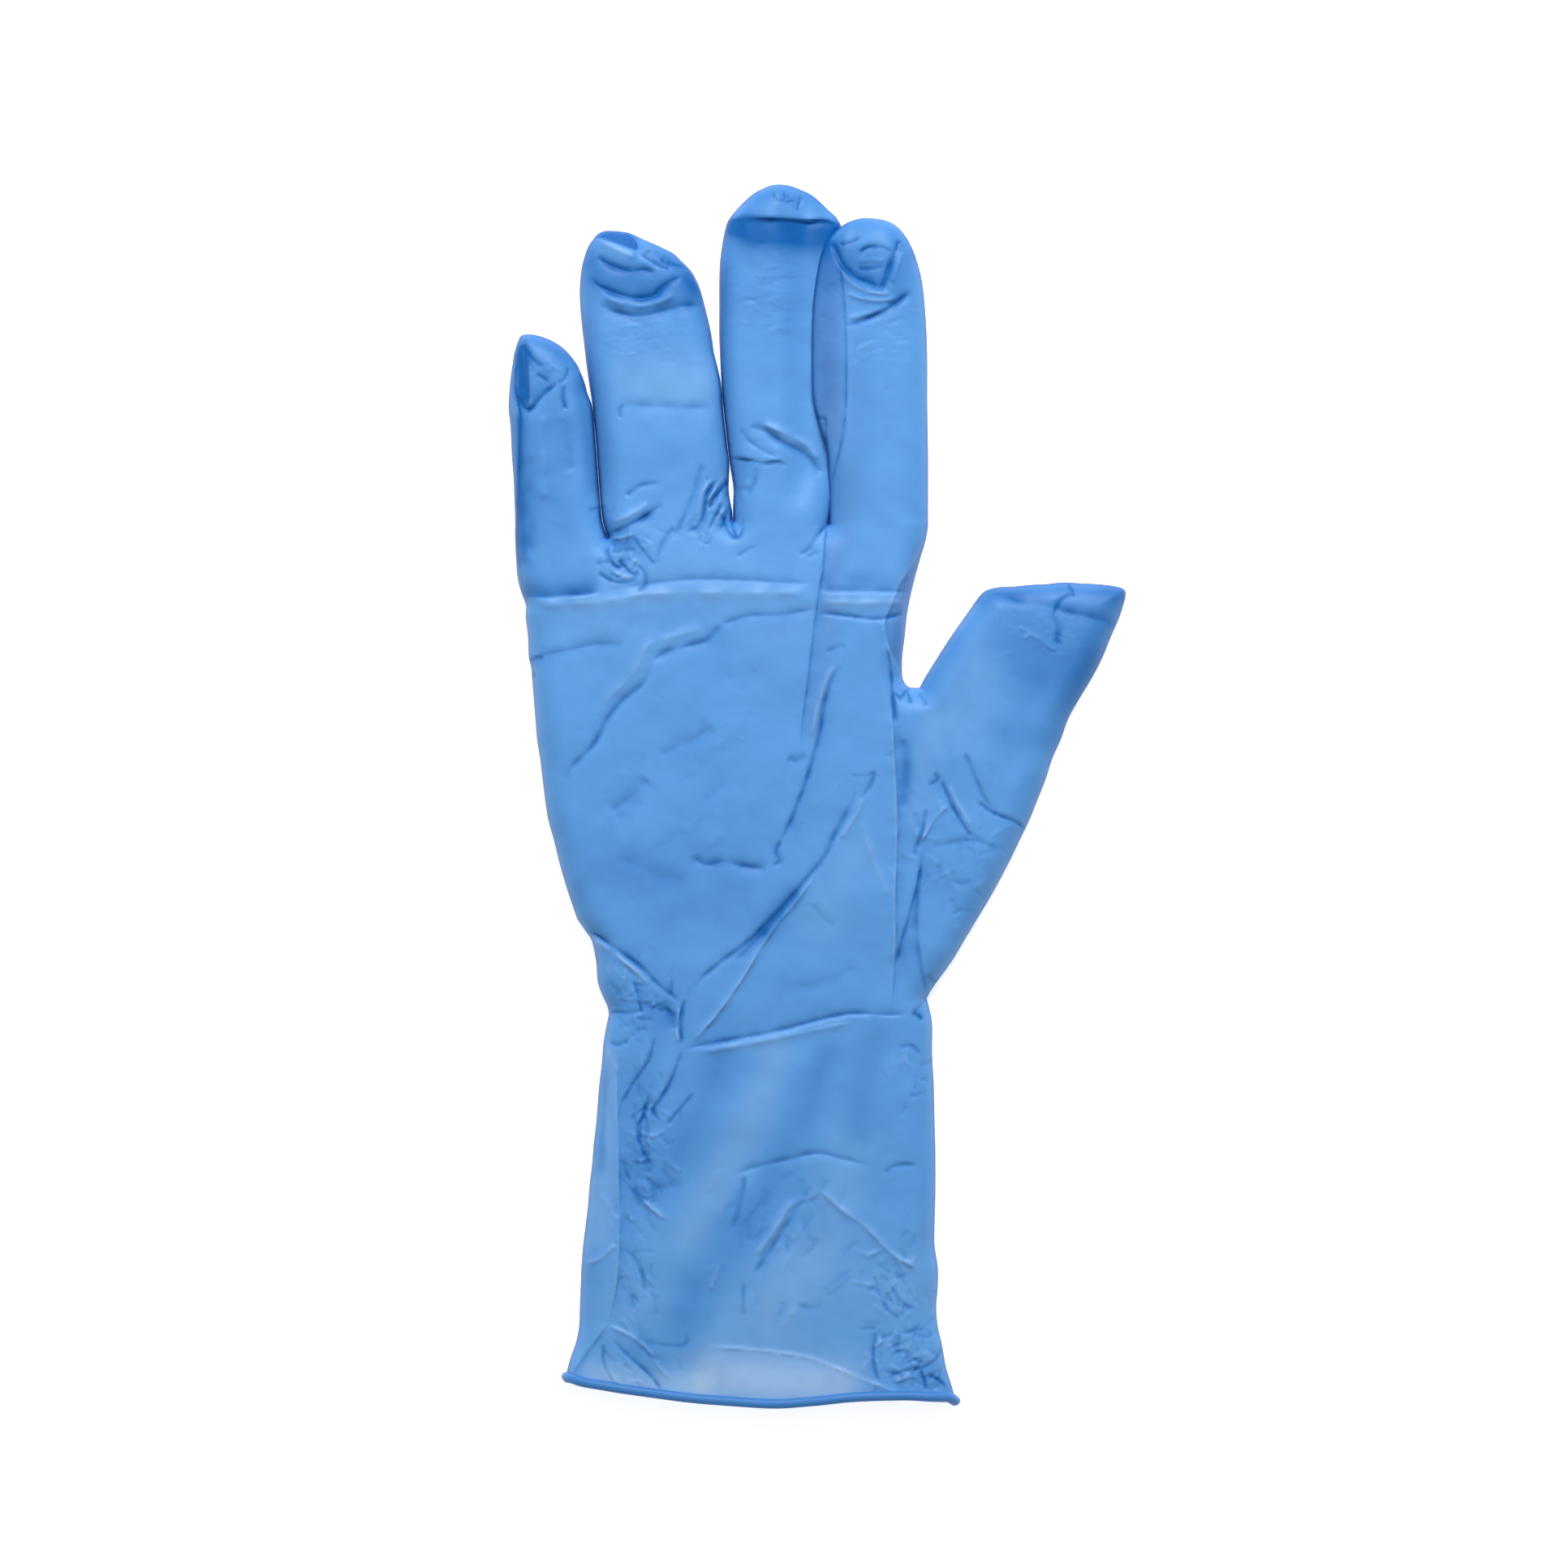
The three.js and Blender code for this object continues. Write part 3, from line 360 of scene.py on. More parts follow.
PALM_FOLDS = [
    (1.2, -0.5, 0.18, [(1009, 750), (963, 757), (917, 760), (888, 772)], (0, -0.12), 3.0),
    (1.0, -0.6, 0.4, [(888, 771), (872, 789), (848, 796), (821, 804), (805, 817)], (0, -0.1), 2.4),
    (0.8, -0.6, 0.4, [(805, 817), (794, 843), (767, 866), (751, 886), (732, 920), (709, 944), (697, 968)],
     (-0.1, 0.1), 2.4),
    (1.6, 0.5, -0.15, [(870, 775), (838, 783), (800, 795), (785, 825), (755, 858), (735, 885)]),
    (1.6, -0.4, 0.2, [(663, 808), (698, 801), (740, 793), (770, 795)], (0, -0.1), 3.0),
    (0.6, -0.3, 0.4, [(652, 814), (662, 811), (672, 811)]),
    (0.5, -0.3, 0.4, [(655, 834), (661, 830)]),
    (2.6, -0.5, 0.16, [(813, 931), (848, 915), (880, 896)]),
    (3.0, -0.5, 0.14, [(751, 1001), (778, 984), (800, 960)]),
    (4.5, -0.4, 0.12, [(760, 1050), (800, 1075), (850, 1085)]),
    (1.3, -0.7, 0.42, [(850, 1054), (871, 1066), (890, 1062), (917, 1068), (946, 1070)], (0, 0.1), 1.8),
    (0.6, -0.7, 0.6, [(1035, 821), (1024, 841), (1015, 868), (1009, 905), (994, 958), (975, 1009),
     (960, 1040)], (0.15, 0), 2.4),
    (0.6, -0.6, 0.65, [(962, 1035), (956, 1051), (961, 1061), (951, 1066)]),
    (0.7, 0.5, -0.25, [(1028, 820), (1015, 845), (1005, 880), (999, 910)]),
    (0.6, -0.6, 0.5, [(1058, 964), (1048, 993), (1028, 1029), (1016, 1056), (994, 1082), (967, 1114),
     (925, 1157), (890, 1184), (863, 1207), (844, 1232)], (-0.1, 0), 2.0),
    (0.8, 0.4, -0.2, [(1064, 975), (1056, 1000), (1036, 1034)]),
    (0.5, 0.8, -0.4, [(1003, 1080), (976, 1116), (957, 1138), (936, 1169), (913, 1207), (883, 1249),
     (852, 1285)], (0.1, -0.1), 2.2),
    (1.3, -0.7, 0.55, [(985, 1094), (952, 1136), (928, 1162), (905, 1185)]),
    (0.45, -0.3, 0.5, [(1048, 955), (1063, 956), (1079, 951)]),
    (0.7, -0.4, 0.4, [(1078, 951), (1071, 970), (1058, 985)]),
    (0.8, -0.3, 0.3, [(1018, 806), (1028, 799), (1042, 797)]),
    (0.4, -0.3, 0.5, [(1089, 932), (1099, 929)]),
    (1.2, 0.4, -0.15, [(1060, 1010), (1075, 1060), (1094, 1104)]),
    (0.9, -0.15, 0.14, [(1000, 1112), (1014, 1130), (1032, 1142)]),
    (2.6, -0.25, 0.12, [(960, 1200), (990, 1215), (1060, 1190)]),
]
CROTCH_LINE_FOLDS = [
    (0.4, 0.5, -0.3, [(1097, 858), (1099, 893), (1101, 931), (1104, 989), (1104, 1046), (1102, 1104),
     (1102, 1161), (1097, 1244)], (0.45, 0), 2.2),
    (0.6, -0.7, 0.7, [(1093, 800), (1098, 830), (1100, 862), (1103, 895)]),
    (1.6, -0.5, 0.3, [(1112, 910), (1116, 950), (1112, 1000)]),
    (0.45, -0.5, 0.5, [(1136, 1042), (1130, 1085), (1119, 1127), (1107, 1169), (1103, 1192)], (0.35, 0),
     1.8),
    (0.6, -0.4, 0.3, [(1134, 1069), (1129, 1123), (1130, 1161), (1138, 1208), (1141, 1227)], (-0.15, 0),
     1.8),
]
THUMB_FOLDS = [
    (0.45, -0.6, 0.8, [(1101, 853), (1109, 861), (1115, 853), (1121, 848)]),
    (0.45, -0.5, 0.6, [(1118, 853), (1122, 868)]),
    (0.5, -0.4, 0.5, [(1131, 853), (1136, 862), (1141, 871)]),
    (0.45, -0.6, 0.6, [(1159, 961), (1172, 992), (1188, 1019), (1198, 1034)], (-0.1, 0), 1.6),
    (0.5, 0.5, -0.35, [(1168, 968), (1180, 992), (1196, 1018)]),
    (0.6, -0.4, 0.4, [(1148, 952), (1155, 960), (1143, 969)]),
    (0.6, -0.5, 0.35, [(1188, 927), (1199, 954), (1211, 981), (1222, 1000)], (-0.1, 0), 1.6),
    (0.5, -0.6, 0.65, [(1203, 987), (1222, 1001), (1249, 1012), (1265, 1022)], (0, -0.1), 1.6),
    (0.45, 0.5, -0.35, [(1167, 993), (1149, 1012), (1134, 1038)], (0.2, -0.2), 1.4),
    (0.5, -0.5, 0.6, [(1141, 996), (1136, 1022), (1130, 1040), (1127, 1051), (1134, 1055)]),
    (0.8, -0.3, 0.3, [(1147, 1047), (1158, 1040), (1196, 1035), (1212, 1039), (1231, 1047), (1238, 1054)]),
    (0.7, -0.3, 0.2, [(1168, 1083), (1184, 1089), (1196, 1085)]),
    (1.0, -0.4, 0.3, [(1140, 1200), (1148, 1207), (1158, 1207)]),
    (0.35, -0.4, 0.6, [(1314, 717), (1320, 728), (1322, 737)], (-0.1, 0), 1.2),
    (0.45, -0.4, 0.5, [(1321, 731), (1307, 739), (1300, 750), (1298, 760)], (0.1, 0.1), 1.4),
    (1.6, -0.6, 0.38, [(1214, 729), (1234, 735), (1265, 743), (1296, 750), (1349, 763), (1374, 771)]),
    (0.8, -0.4, 0.4, [(1295, 755), (1303, 777), (1301, 789), (1308, 797)]),
    (0.6, 0.3, -0.25, [(1253, 772), (1280, 788), (1300, 804)]),
    (0.5, 0.3, -0.3, [(1258, 789), (1268, 783), (1280, 789)]),
]
WRIST_FOLDS = [
    (0.5, -0.6, 0.55, [(842, 1292), (882, 1284), (959, 1269), (1017, 1254), (1055, 1248), (1094, 1250),
     (1122, 1248)], (0, 0.35), 2.0),
    (1.0, 0.5, -0.2, [(860, 1296), (960, 1277), (1055, 1257)]),
    (0.7, -0.8, 1.1, [(1122, 1246), (1130, 1250), (1137, 1256)]),
    (0.4, -0.3, 0.4, [(1125, 1247), (1133, 1238), (1141, 1230)]),
    (0.6, -0.7, 0.6, [(722, 1143), (740, 1155), (786, 1188), (809, 1211), (825, 1224), (840, 1238)],
     (0.15, 0.2), 2.0),
    (0.6, 0.6, -0.35, [(718, 1147), (748, 1168), (778, 1190), (801, 1212)]),
    (0.35, -0.4, 0.5, [(780, 1207), (786, 1222), (791, 1249)], (0.2, 0), 1.4),
    (0.35, -0.4, 0.5, [(829, 1206), (829, 1216), (827, 1226)], (-0.2, 0), 1.2),
    (0.45, -0.7, 0.7, [(846, 1230), (841, 1240), (839, 1264), (841, 1288)], (0.2, 0), 1.6),
    (0.4, 0.6, -0.5, [(838, 1240), (834, 1262), (837, 1284)]),
    (1.6, -0.5, 0.35, [(812, 1236), (826, 1246), (832, 1268)]),
    (0.5, -0.4, 0.4, [(751, 1246), (774, 1247), (792, 1244)], (0, 0.1), 1.2),
    (0.5, -0.4, 0.35, [(752, 1283), (762, 1287), (775, 1281)], (0, 0.1), 1.2),
    (0.6, -0.3, 0.35, [(1107, 1291), (1118, 1287), (1127, 1290), (1133, 1300)]),
    (0.6, -0.3, 0.35, [(1131, 1311), (1143, 1309), (1149, 1302)]),
]
UPPER_CUFF_FOLDS = [
    (0.4, -0.5, 0.55, [(808, 1275), (799, 1306), (782, 1331), (767, 1357), (763, 1368)], (0.15, 0), 1.4),
    (0.45, -0.7, 0.65, [(841, 1292), (836, 1308), (825, 1334), (812, 1356), (805, 1366), (814, 1382)],
     (0.2, -0.1), 1.8),
    (0.4, -0.4, 0.4, [(856, 1344), (844, 1358), (821, 1385)], (0.1, 0), 1.2),
    (0.5, -0.5, 0.5, [(801, 1345), (792, 1376), (786, 1389), (791, 1412), (806, 1441)], (0.15, 0), 1.6),
    (0.5, 0.4, -0.3, [(789, 1392), (805, 1398), (822, 1390)]),
    (0.7, -0.4, 0.35, [(767, 1426), (779, 1458), (798, 1481)]),
    (0.4, 0.5, -0.2, [(760, 1292), (761, 1365), (763, 1440), (764, 1528), (759, 1586), (749, 1629)],
     (0.3, 0), 1.8),
    (0.35, 0.4, 0.1, [(749, 1629), (727, 1659), (706, 1690)], (0.2, 0), 1.4),
    (1.4, -0.4, 0.22, [(748, 1300), (744, 1380), (742, 1460)]),
    (0.8, -0.5, 0.25, [(905, 1446), (930, 1437), (959, 1430), (1005, 1420), (1036, 1426), (1072, 1434)],
     (0, 0.12), 2.4),
    (0.7, -0.4, 0.3, [(919, 1446), (912, 1486), (902, 1514)], (-0.1, 0), 1.8),
    (0.8, -0.5, 0.35, [(989, 1473), (965, 1513), (942, 1548), (930, 1568)], (0.1, 0), 2.0),
    (1.0, 0.5, -0.2, [(978, 1475), (955, 1512), (932, 1545)]),
    (0.9, 0.5, -0.2, [(1007, 1463), (1038, 1490), (1065, 1509), (1099, 1543), (1134, 1563)], (-0.1, -0.1),
     3.0),
    (0.6, 0.4, -0.3, [(885, 1556), (881, 1572), (875, 1587)]),
    (0.5, -0.2, 0.25, [(917, 1578), (916, 1600), (917, 1619)]),
    (0.7, -0.4, 0.35, [(1089, 1444), (1101, 1435), (1118, 1433), (1130, 1434)]),
    (0.7, 0.5, -0.3, [(772, 1451), (791, 1475), (819, 1500)], (0, -0.15), 1.6),
    (1.4, -0.3, 0.2, [(802, 1464), (822, 1459), (843, 1455)]),
    (0.5, -0.4, 0.35, [(765, 1536), (780, 1544), (791, 1566), (796, 1588)], (0.1, 0), 1.4),
    (0.5, 0.4, -0.3, [(721, 1556), (739, 1549), (761, 1530)], (0, -0.15), 1.2),
]
LOWER_CUFF_FOLDS = [
    (0.5, 0.5, -0.3, [(750, 1629), (780, 1643), (799, 1659), (815, 1682), (829, 1697)], (0.1, 0.1), 2.6),
    (0.45, -0.5, 0.55, [(755, 1646), (769, 1663), (791, 1682), (806, 1697), (816, 1712)], (0.15, 0.1), 1.6),
    (0.5, -0.4, 0.35, [(745, 1652), (745, 1678), (757, 1699)], (0.1, 0), 1.2),
    (0.6, -0.3, 0.3, [(795, 1650), (820, 1654), (845, 1654), (846, 1637)]),
    (0.35, 0.4, -0.35, [(870, 1656), (918, 1658), (988, 1667), (1026, 1680), (1065, 1696), (1114, 1715)],
     (0, 0.12), 1.6),
    (0.45, -0.5, 0.55, [(1081, 1639), (1076, 1655), (1078, 1686), (1085, 1699)], (-0.15, 0), 1.4),
    (0.5, -0.5, 0.5, [(1088, 1697), (1111, 1686), (1134, 1682), (1152, 1672), (1160, 1656)], (0, -0.15),
     1.6),
    (0.45, -0.5, 0.6, [(1133, 1684), (1138, 1697), (1141, 1711)]),
    (0.45, -0.5, 0.5, [(1141, 1689), (1156, 1698), (1172, 1715)], (0, -0.1), 1.2),
    (0.5, 0.5, -0.4, [(1100, 1700), (1120, 1692), (1130, 1694)]),
    (0.5, 0.5, -0.3, [(1146, 1704), (1155, 1714), (1164, 1720)]),
    (0.6, -0.3, 0.3, [(1066, 1588), (1078, 1585), (1086, 1597), (1094, 1616)]),
    (0.6, -0.3, 0.3, [(1096, 1582), (1108, 1597), (1123, 1613)]),
    (0.8, -0.3, 0.25, [(1110, 1640), (1135, 1634), (1152, 1620)]),
    (0.8, -0.15, 0.14, [(980, 1604), (996, 1608), (1015, 1607)]),
]
FOLDS = [
    *LITTLE_FOLDS, *RING_FOLDS, *LITTLE_TO_RING_FOLDS, *RING_TO_MIDDLE_FOLDS, *MIDDLE_FOLDS, *KNUCKLE_FOLDS,
    *PALM_FOLDS, *CROTCH_LINE_FOLDS, *THUMB_FOLDS, *WRIST_FOLDS, *UPPER_CUFF_FOLDS, *LOWER_CUFF_FOLDS,
]

# Fields of small wrinkles, on the index finger or the rest of the hand. middle and spread are in photograph
# pixels, heading and turn in degrees from east, length in millimetres, and the others as for the folds.
WRINKLE_COLUMNS = ("limb", "middle", "spread", "heading", "turn", "count", "length", "width", "rise", "tone")
WRINKLES = [
    # Fingertips
    ("hand", (943, 365), (42, 45), 0, 12, 70, 5, 0.3, 0.1, 0.07),
    ("hand", (790, 418), (55, 24), 0, 14, 50, 5, 0.3, 0.1, 0.07),
    ("index", (1088, 415), (38, 38), 8, 14, 46, 4.5, 0.3, 0.1, 0.07),
    ("index", (1020, 380), (10, 50), 80, 20, 14, 4, 0.3, 0.1, 0.06),
    ("hand", (1290, 775), (60, 36), -12, 22, 56, 4.5, 0.3, 0.1, 0.08),
    ("hand", (672, 455), (22, 35), -40, 30, 18, 3, 0.3, 0.12, 0.08),
    # Between the fingers
    ("hand", (772, 684), (28, 34), 30, 70, 36, 3.2, 0.35, 0.3, 0.26),
    ("hand", (880, 632), (24, 36), 62, 30, 34, 4.5, 0.35, 0.3, 0.24),
    # Wrist and cuff
    ("hand", (790, 1235), (40, 42), -45, 50, 52, 4.5, 0.4, 0.3, 0.2),
    ("hand", (795, 1405), (28, 75), -60, 26, 64, 7, 0.5, 0.3, 0.16),
    ("hand", (782, 1550), (26, 80), -70, 24, 44, 7, 0.5, 0.25, 0.12),
    ("hand", (960, 1520), (90, 70), 65, 26, 44, 8, 0.7, 0.18, 0.1),
    ("hand", (1105, 1600), (40, 60), -45, 50, 64, 4.5, 0.5, 0.28, 0.16),
    ("hand", (1125, 1680), (38, 30), 40, 55, 48, 4.5, 0.4, 0.35, 0.26),
    ("hand", (775, 1680), (45, 25), -45, 30, 14, 5, 0.4, 0.3, 0.14),
    ("hand", (1120, 1320), (26, 40), 80, 40, 14, 4, 0.5, 0.25, 0.12),
    # Palm and thumb
    ("hand", (840, 960), (130, 160), 35, 30, 44, 10, 1.4, 0.12, 0.05),
    ("hand", (1180, 1040), (60, 90), -60, 40, 44, 6, 0.6, 0.22, 0.1),
]

# Broad changes of the blue, each fading over its width in millimetres. Deep patches are mostly painted shade,
# as under the middle fingertip's fold and in the thumb's hollow; pale ones make the film lighter; violet ones
# are overlapping layers. The strip along the little finger's side goes round to the lower layers.
PATCH_COLUMNS = ("kind", "width", "amount", "path")
LITTLE_STRIP = ("violet", 1.1, 0.8, [(633, 440), (631, 500), (633, 560), (636, 690), (643, 730)])
PATCHES = [
    LITTLE_STRIP,
    # Fingers and knuckles
    ("deep", 1.8, 0.8, [(645, 440), (647, 488)]),
    ("deep", 6.5, 0.5, [(740, 345), (790, 355), (840, 355)]),
    ("deep", 1.8, 0.5, [(756, 292), (776, 301)]),
    # Painted shadow under the middle fingertip's fold
    ("deep", 2.2, 1.1, [(902, 281), (1026, 284)]),
    ("deep", 4.2, 0.75, [(928, 294), (1015, 297)]),
    ("deep", 12.0, 0.2, [(900, 350), (990, 350)]),
    ("deep", 2.2, 0.4, [(648, 730), (690, 731), (728, 724)]),
    ("deep", 3.0, 0.22, [(1055, 715), (1100, 715)]),
    ("deep", 2.6, 0.3, [(760, 668), (782, 672)]),
    ("deep", 3.0, 0.22, [(722, 400), (738, 500), (746, 590)]),
    ("deep", 1.6, 0.5, [(640, 520), (641, 600), (645, 690)]),
    ("deep", 1.6, 0.3, [(712, 470), (722, 530), (730, 600)]),
    ("deep", 1.8, 0.2, [(892, 300), (892, 400), (898, 500)]),
    ("pale", 7.0, 0.28, [(790, 470), (860, 475)]),
    ("pale", 1.6, 0.1, [(668, 520), (672, 600), (676, 700)]),
    ("deep", 9.0, 0.3, [(665, 450), (685, 650)]),
    ("deep", 6.0, 0.55, [(925, 250), (965, 240), (1005, 252)]),
    ("deep", 3.0, 0.45, [(722, 320), (735, 296), (780, 296), (840, 328), (860, 352)]),
    ("deep", 2.6, 0.35, [(640, 420), (665, 418), (700, 442)]),
    # Palm and thumb
    ("violet", 2.0, 0.7, [(1138, 676), (1124, 705), (1110, 745), (1108, 800)]),
    ("violet", 2.4, 0.4, [(1030, 660), (1022, 740), (1012, 830), (1002, 900)]),
    # Painted shade in the thumb's hollow
    ("deep", 9.0, 0.4, [(1285, 828), (1335, 832)]),
    ("deep", 4.5, 0.25, [(1240, 905), (1300, 912)]),
    ("deep", 4.0, 0.15, [(1150, 825), (1175, 795)]),
    ("deep", 2.6, 0.35, [(975, 1100), (940, 1145)]),
    ("pale", 12.0, 0.1, [(740, 760), (860, 720), (960, 760)]),
    ("pale", 8.0, 0.14, [(1210, 800), (1180, 900)]),
    ("deep", 9.0, 0.1, [(900, 1010), (830, 1060)]),
    ("pale", 6.0, 0.14, [(1050, 1050), (1010, 1130)]),
    ("pale", 4.0, 0.16, [(1150, 890), (1120, 1000)]),
    ("deep", 3.5, 0.5, [(1212, 732), (1290, 727), (1380, 730)]),
    ("deep", 8.0, 0.2, [(1250, 770), (1340, 780)]),
    ("deep", 10.0, 0.12, [(760, 1080), (860, 1110), (900, 1080)]),
    ("deep", 4.0, 0.25, [(1370, 735), (1345, 800), (1310, 880)]),
    # Wrist, cuff and bead
    ("pale", 6.5, 1.15, [(880, 1694), (950, 1698), (1030, 1706)]),
    ("pale", 4.0, 0.7, [(735, 1692), (790, 1703), (860, 1708)]),
    ("pale", 14.0, 0.16, [(770, 1600), (950, 1600), (1120, 1580)]),
    ("deep", 4.6, 0.3, [(885, 1305), (855, 1380), (805, 1465)]),
    ("deep", 4.0, 0.25, [(1020, 1300), (975, 1400), (925, 1500)]),
    ("deep", 3.6, 0.2, [(1085, 1262), (1066, 1320), (1056, 1390)]),
    ("deep", 6.5, 0.26, [(905, 1520), (865, 1590), (840, 1620)]),
    ("deep", 3.0, 0.2, [(800, 1232), (820, 1250)]),
    ("deep", 2.6, 0.2, [(790, 1655), (805, 1680)]),
    ("pale", 3.0, 0.28, [(750, 1300), (748, 1400), (738, 1520)]),
    ("pale", 5.0, 0.24, [(955, 1300), (915, 1400), (850, 1520)]),
    ("pale", 7.0, 0.2, [(1045, 1400), (1020, 1500), (950, 1620)]),
    ("deep", 0.45, 0.8, [(700, 1692), (757, 1706), (834, 1716), (895, 1723), (949, 1726), (1007, 1722),
     (1065, 1717), (1122, 1716), (1176, 1720)]),
    ("deep", 5.0, 0.2, [(770, 1230), (815, 1262)]),
    ("deep", 4.0, 0.2, [(790, 1330), (785, 1430)]),
    ("deep", 3.0, 0.25, [(1140, 1690), (1155, 1700)]),
]
INDEX_PATCHES = [
    ("violet", 3.4, 0.9, [(1018, 330), (1020, 400), (1021, 480), (1026, 530)]),
    ("deep", 3.6, 0.32, [(1018, 310), (1020, 400), (1022, 500)]),
    ("violet", 2.0, 0.25, [(1055, 420), (1055, 500), (1047, 620), (1030, 720)]),
    ("deep", 6.0, 0.45, [(1045, 335), (1100, 345)]),
    ("deep", 3.0, 0.4, [(1020, 310), (1050, 282), (1090, 280), (1122, 312)]),
]


def smooth_path(points, step):
    """Points about step apart on a smooth curve through all the given ones."""
    knots = np.array([points[0], *points, points[-1]], float)
    path = []
    for before, start, end, after in zip(knots, knots[1:], knots[2:], knots[3:]):
        count = max(1, round(np.linalg.norm(end - start) / step))
        for t in np.arange(count) / count:
            path.append(
                0.5 * (2 * start + (end - before) * t + (2 * before - 5 * start + 4 * end - after) * t**2
                       + (3 * start - before - 3 * end + after) * t**3)
            )
    path.append(knots[-1])
    return np.array(path)


def ease(start, end, x):
    """0 up to start and 1 from end on, with a smooth step between them."""
    t = np.clip((x - start) / (end - start), 0, 1)
    return t * t * (3 - 2 * t)


def both_ends(start, end, share):
    """0 at both ends of a path and 1 between them, eased from start to end."""
    return ease(start, end, share) * ease(start, end, 1 - share)


def aside(y):
    """How far the index finger is moved to the right at each height of the plan."""
    return ASIDE * np.clip((y - CROTCH_Y) / ASIDE_LENGTH, 0, 1)


def is_index(points):
    """True for the places of the moved-aside plan that belong to the index finger."""
    border = CROTCH_X + BORDER_SHIFT * np.clip((points[:, 1] - CROTCH_Y) / BORDER_LENGTH, 0, 1)
    return (points[:, 1] > CROTCH_Y) & (points[:, 0] > border)


def outline_stretches():
    """Each stretch of the outline by name, as a smooth path in the moved-aside plan."""
    stretches = {}
    for (name, pixels), following in zip(OUTLINE.items(), [*OUTLINE.values()][1:] + [OUTLINE["mouth"]]):
        stretch = smooth_path([spot(p) for p in pixels + following[:1]], OUTLINE_STEP)
        if name == "index":
            stretch[:, 0] += aside(stretch[:, 1])
        if name == "mouth":
            stretch[:, 1] += BEAD_RADIUS * both_ends(0, CORNER_SHARE, np.linspace(0, 1, len(stretch)))
        stretches[name] = stretch
    return stretches


def plan_path(row):
    """A fold's or patch's smooth path in the moved-aside plan."""
    path = smooth_path([spot(p) for p in row["path"]], PATH_STEP)
    if row["limb"] == "index":
        path[:, 0] += aside(path[:, 1])
    return path


def rows(columns, hand, index):
    """The rows of the hand's and the index finger's table by column, with their paths in plan."""
    named = []
    for limb, table in [("hand", hand), ("index", index)]:
        named += [{"limb": limb, **NO_SHADE, **dict(zip(columns, row))} for row in table]
    for row in named:
        row["plan"] = plan_path(row)
    return named


def wrinkle_folds():
    """The small wrinkles of each field as short folds, a little bent and turned at random."""
    chance = np.random.default_rng(WRINKLE_SEED)
    folds = []
    for field in (dict(zip(WRINKLE_COLUMNS, row)) for row in WRINKLES):
        for _ in range(field["count"]):
            middle = chance.normal(field["middle"], np.array(field["spread"]) * WRINKLE_SCATTER)
            turn = math.radians(field["heading"] + chance.normal(0, field["turn"]))
            along = np.array([math.cos(turn), -math.sin(turn)])
            across = np.array([-along[1], along[0]])
            half = field["length"] * chance.uniform(*WRINKLE_LENGTHS) / 2 / MM_PER_PIXEL
            bend = half * chance.normal(0, WRINKLE_BEND)
            strength = chance.uniform(*WRINKLE_STRENGTHS) * (1 if chance.random() < WRINKLE_RAISED else -1)
            fold = {
                **NO_SHADE,
                "limb": field["limb"],
                "width": field["width"] * chance.uniform(*WRINKLE_WIDTHS),
                "rise": strength * field["rise"],
                # Painted shade in a sunken wrinkle, a painted highlight on a raised one
                "tone": -strength * field["tone"],
                "path": [middle - half * along, middle + bend * across, middle + half * along],
            }
            fold["plan"] = plan_path(fold)
            folds.append(fold)
    return folds


def nearest(points, path, within):
    """For the points within a distance of a path: their numbers, distances, offsets and shares along it."""
    low, high = path.min(0) - within, path.max(0) + within
    near = np.flatnonzero(((points > low) & (points < high)).all(1))
    own = points[near]
    best = np.full(len(near), np.inf)
    offset = np.zeros((len(near), 2))
    share = np.zeros(len(near))
    segments = len(path) - 1
    for k in range(segments):
        start, along = path[k], path[k + 1] - path[k]
        t = np.clip((own - start) @ along / max(along @ along, SHORTEST), 0, 1)
        away = own - start - t[:, None] * along
        distance = np.hypot(*away.T)
        closer = distance < best
        best[closer] = distance[closer]
        offset[closer] = away[closer]
        share[closer] = ((k + t) / segments)[closer]
    kept = best < within
    return near[kept], best[kept], offset[kept], share[kept]


def lattice(outline, step):
    """Places inside the outline in an even net of triangles, and which of them make the net twice as wide."""
    low, high = outline.min(0), outline.max(0)
    starts, ends = outline, np.roll(outline, -1, 0)
    points, sparse = [], []
    for j in range(int((high[1] - low[1]) / (step * ROW_SHARE)) + 1):
        y = low[1] + (j + ROW_START) * step * ROW_SHARE
        crossing = (starts[:, 1] <= y) != (ends[:, 1] <= y)
        a, b = starts[crossing], ends[crossing]
        walls = np.sort(a[:, 0] + (y - a[:, 1]) / (b[:, 1] - a[:, 1]) * (b[:, 0] - a[:, 0]))
        i = np.arange(int((high[0] - low[0]) / step) + 1)
        x = low[0] + (i + 0.5 * (j % 2)) * step
        within = np.searchsorted(walls, x) % 2 == 1
        points.append(np.column_stack([x, np.full(len(x), y)])[within])
        sparse.append(((j % 2 == 0) & ((i + (j // 2) % 2) % 2 == 0))[within])
    return np.concatenate(points), np.concatenate(sparse)


def outline_distance(points, outline, skip=0):
    """How far each place lies from the outline, its first few stretches left out."""
    best = np.full(len(points), np.inf)
    starts, ends = outline[skip:], np.roll(outline, -1, 0)[skip:]
    keys = np.floor(points / CELL).astype(int)
    for key in np.unique(keys, axis=0):
        own = np.flatnonzero((keys == key).all(1))
        low, high = key * CELL - FAR, (key + 1) * CELL + FAR
        near = ((np.maximum(starts, ends) > low) & (np.minimum(starts, ends) < high)).all(1)
        if not near.any():
            best[own] = FAR
            continue
        a, along = starts[near], (ends - starts)[near]
        delta = points[own][:, None] - a[None]
        t = np.clip((delta * along).sum(2) / (along**2).sum(1), 0, 1)
        away = delta - t[..., None] * along
        best[own] = np.minimum(np.hypot(away[..., 0], away[..., 1]).min(1), FAR)
    return best


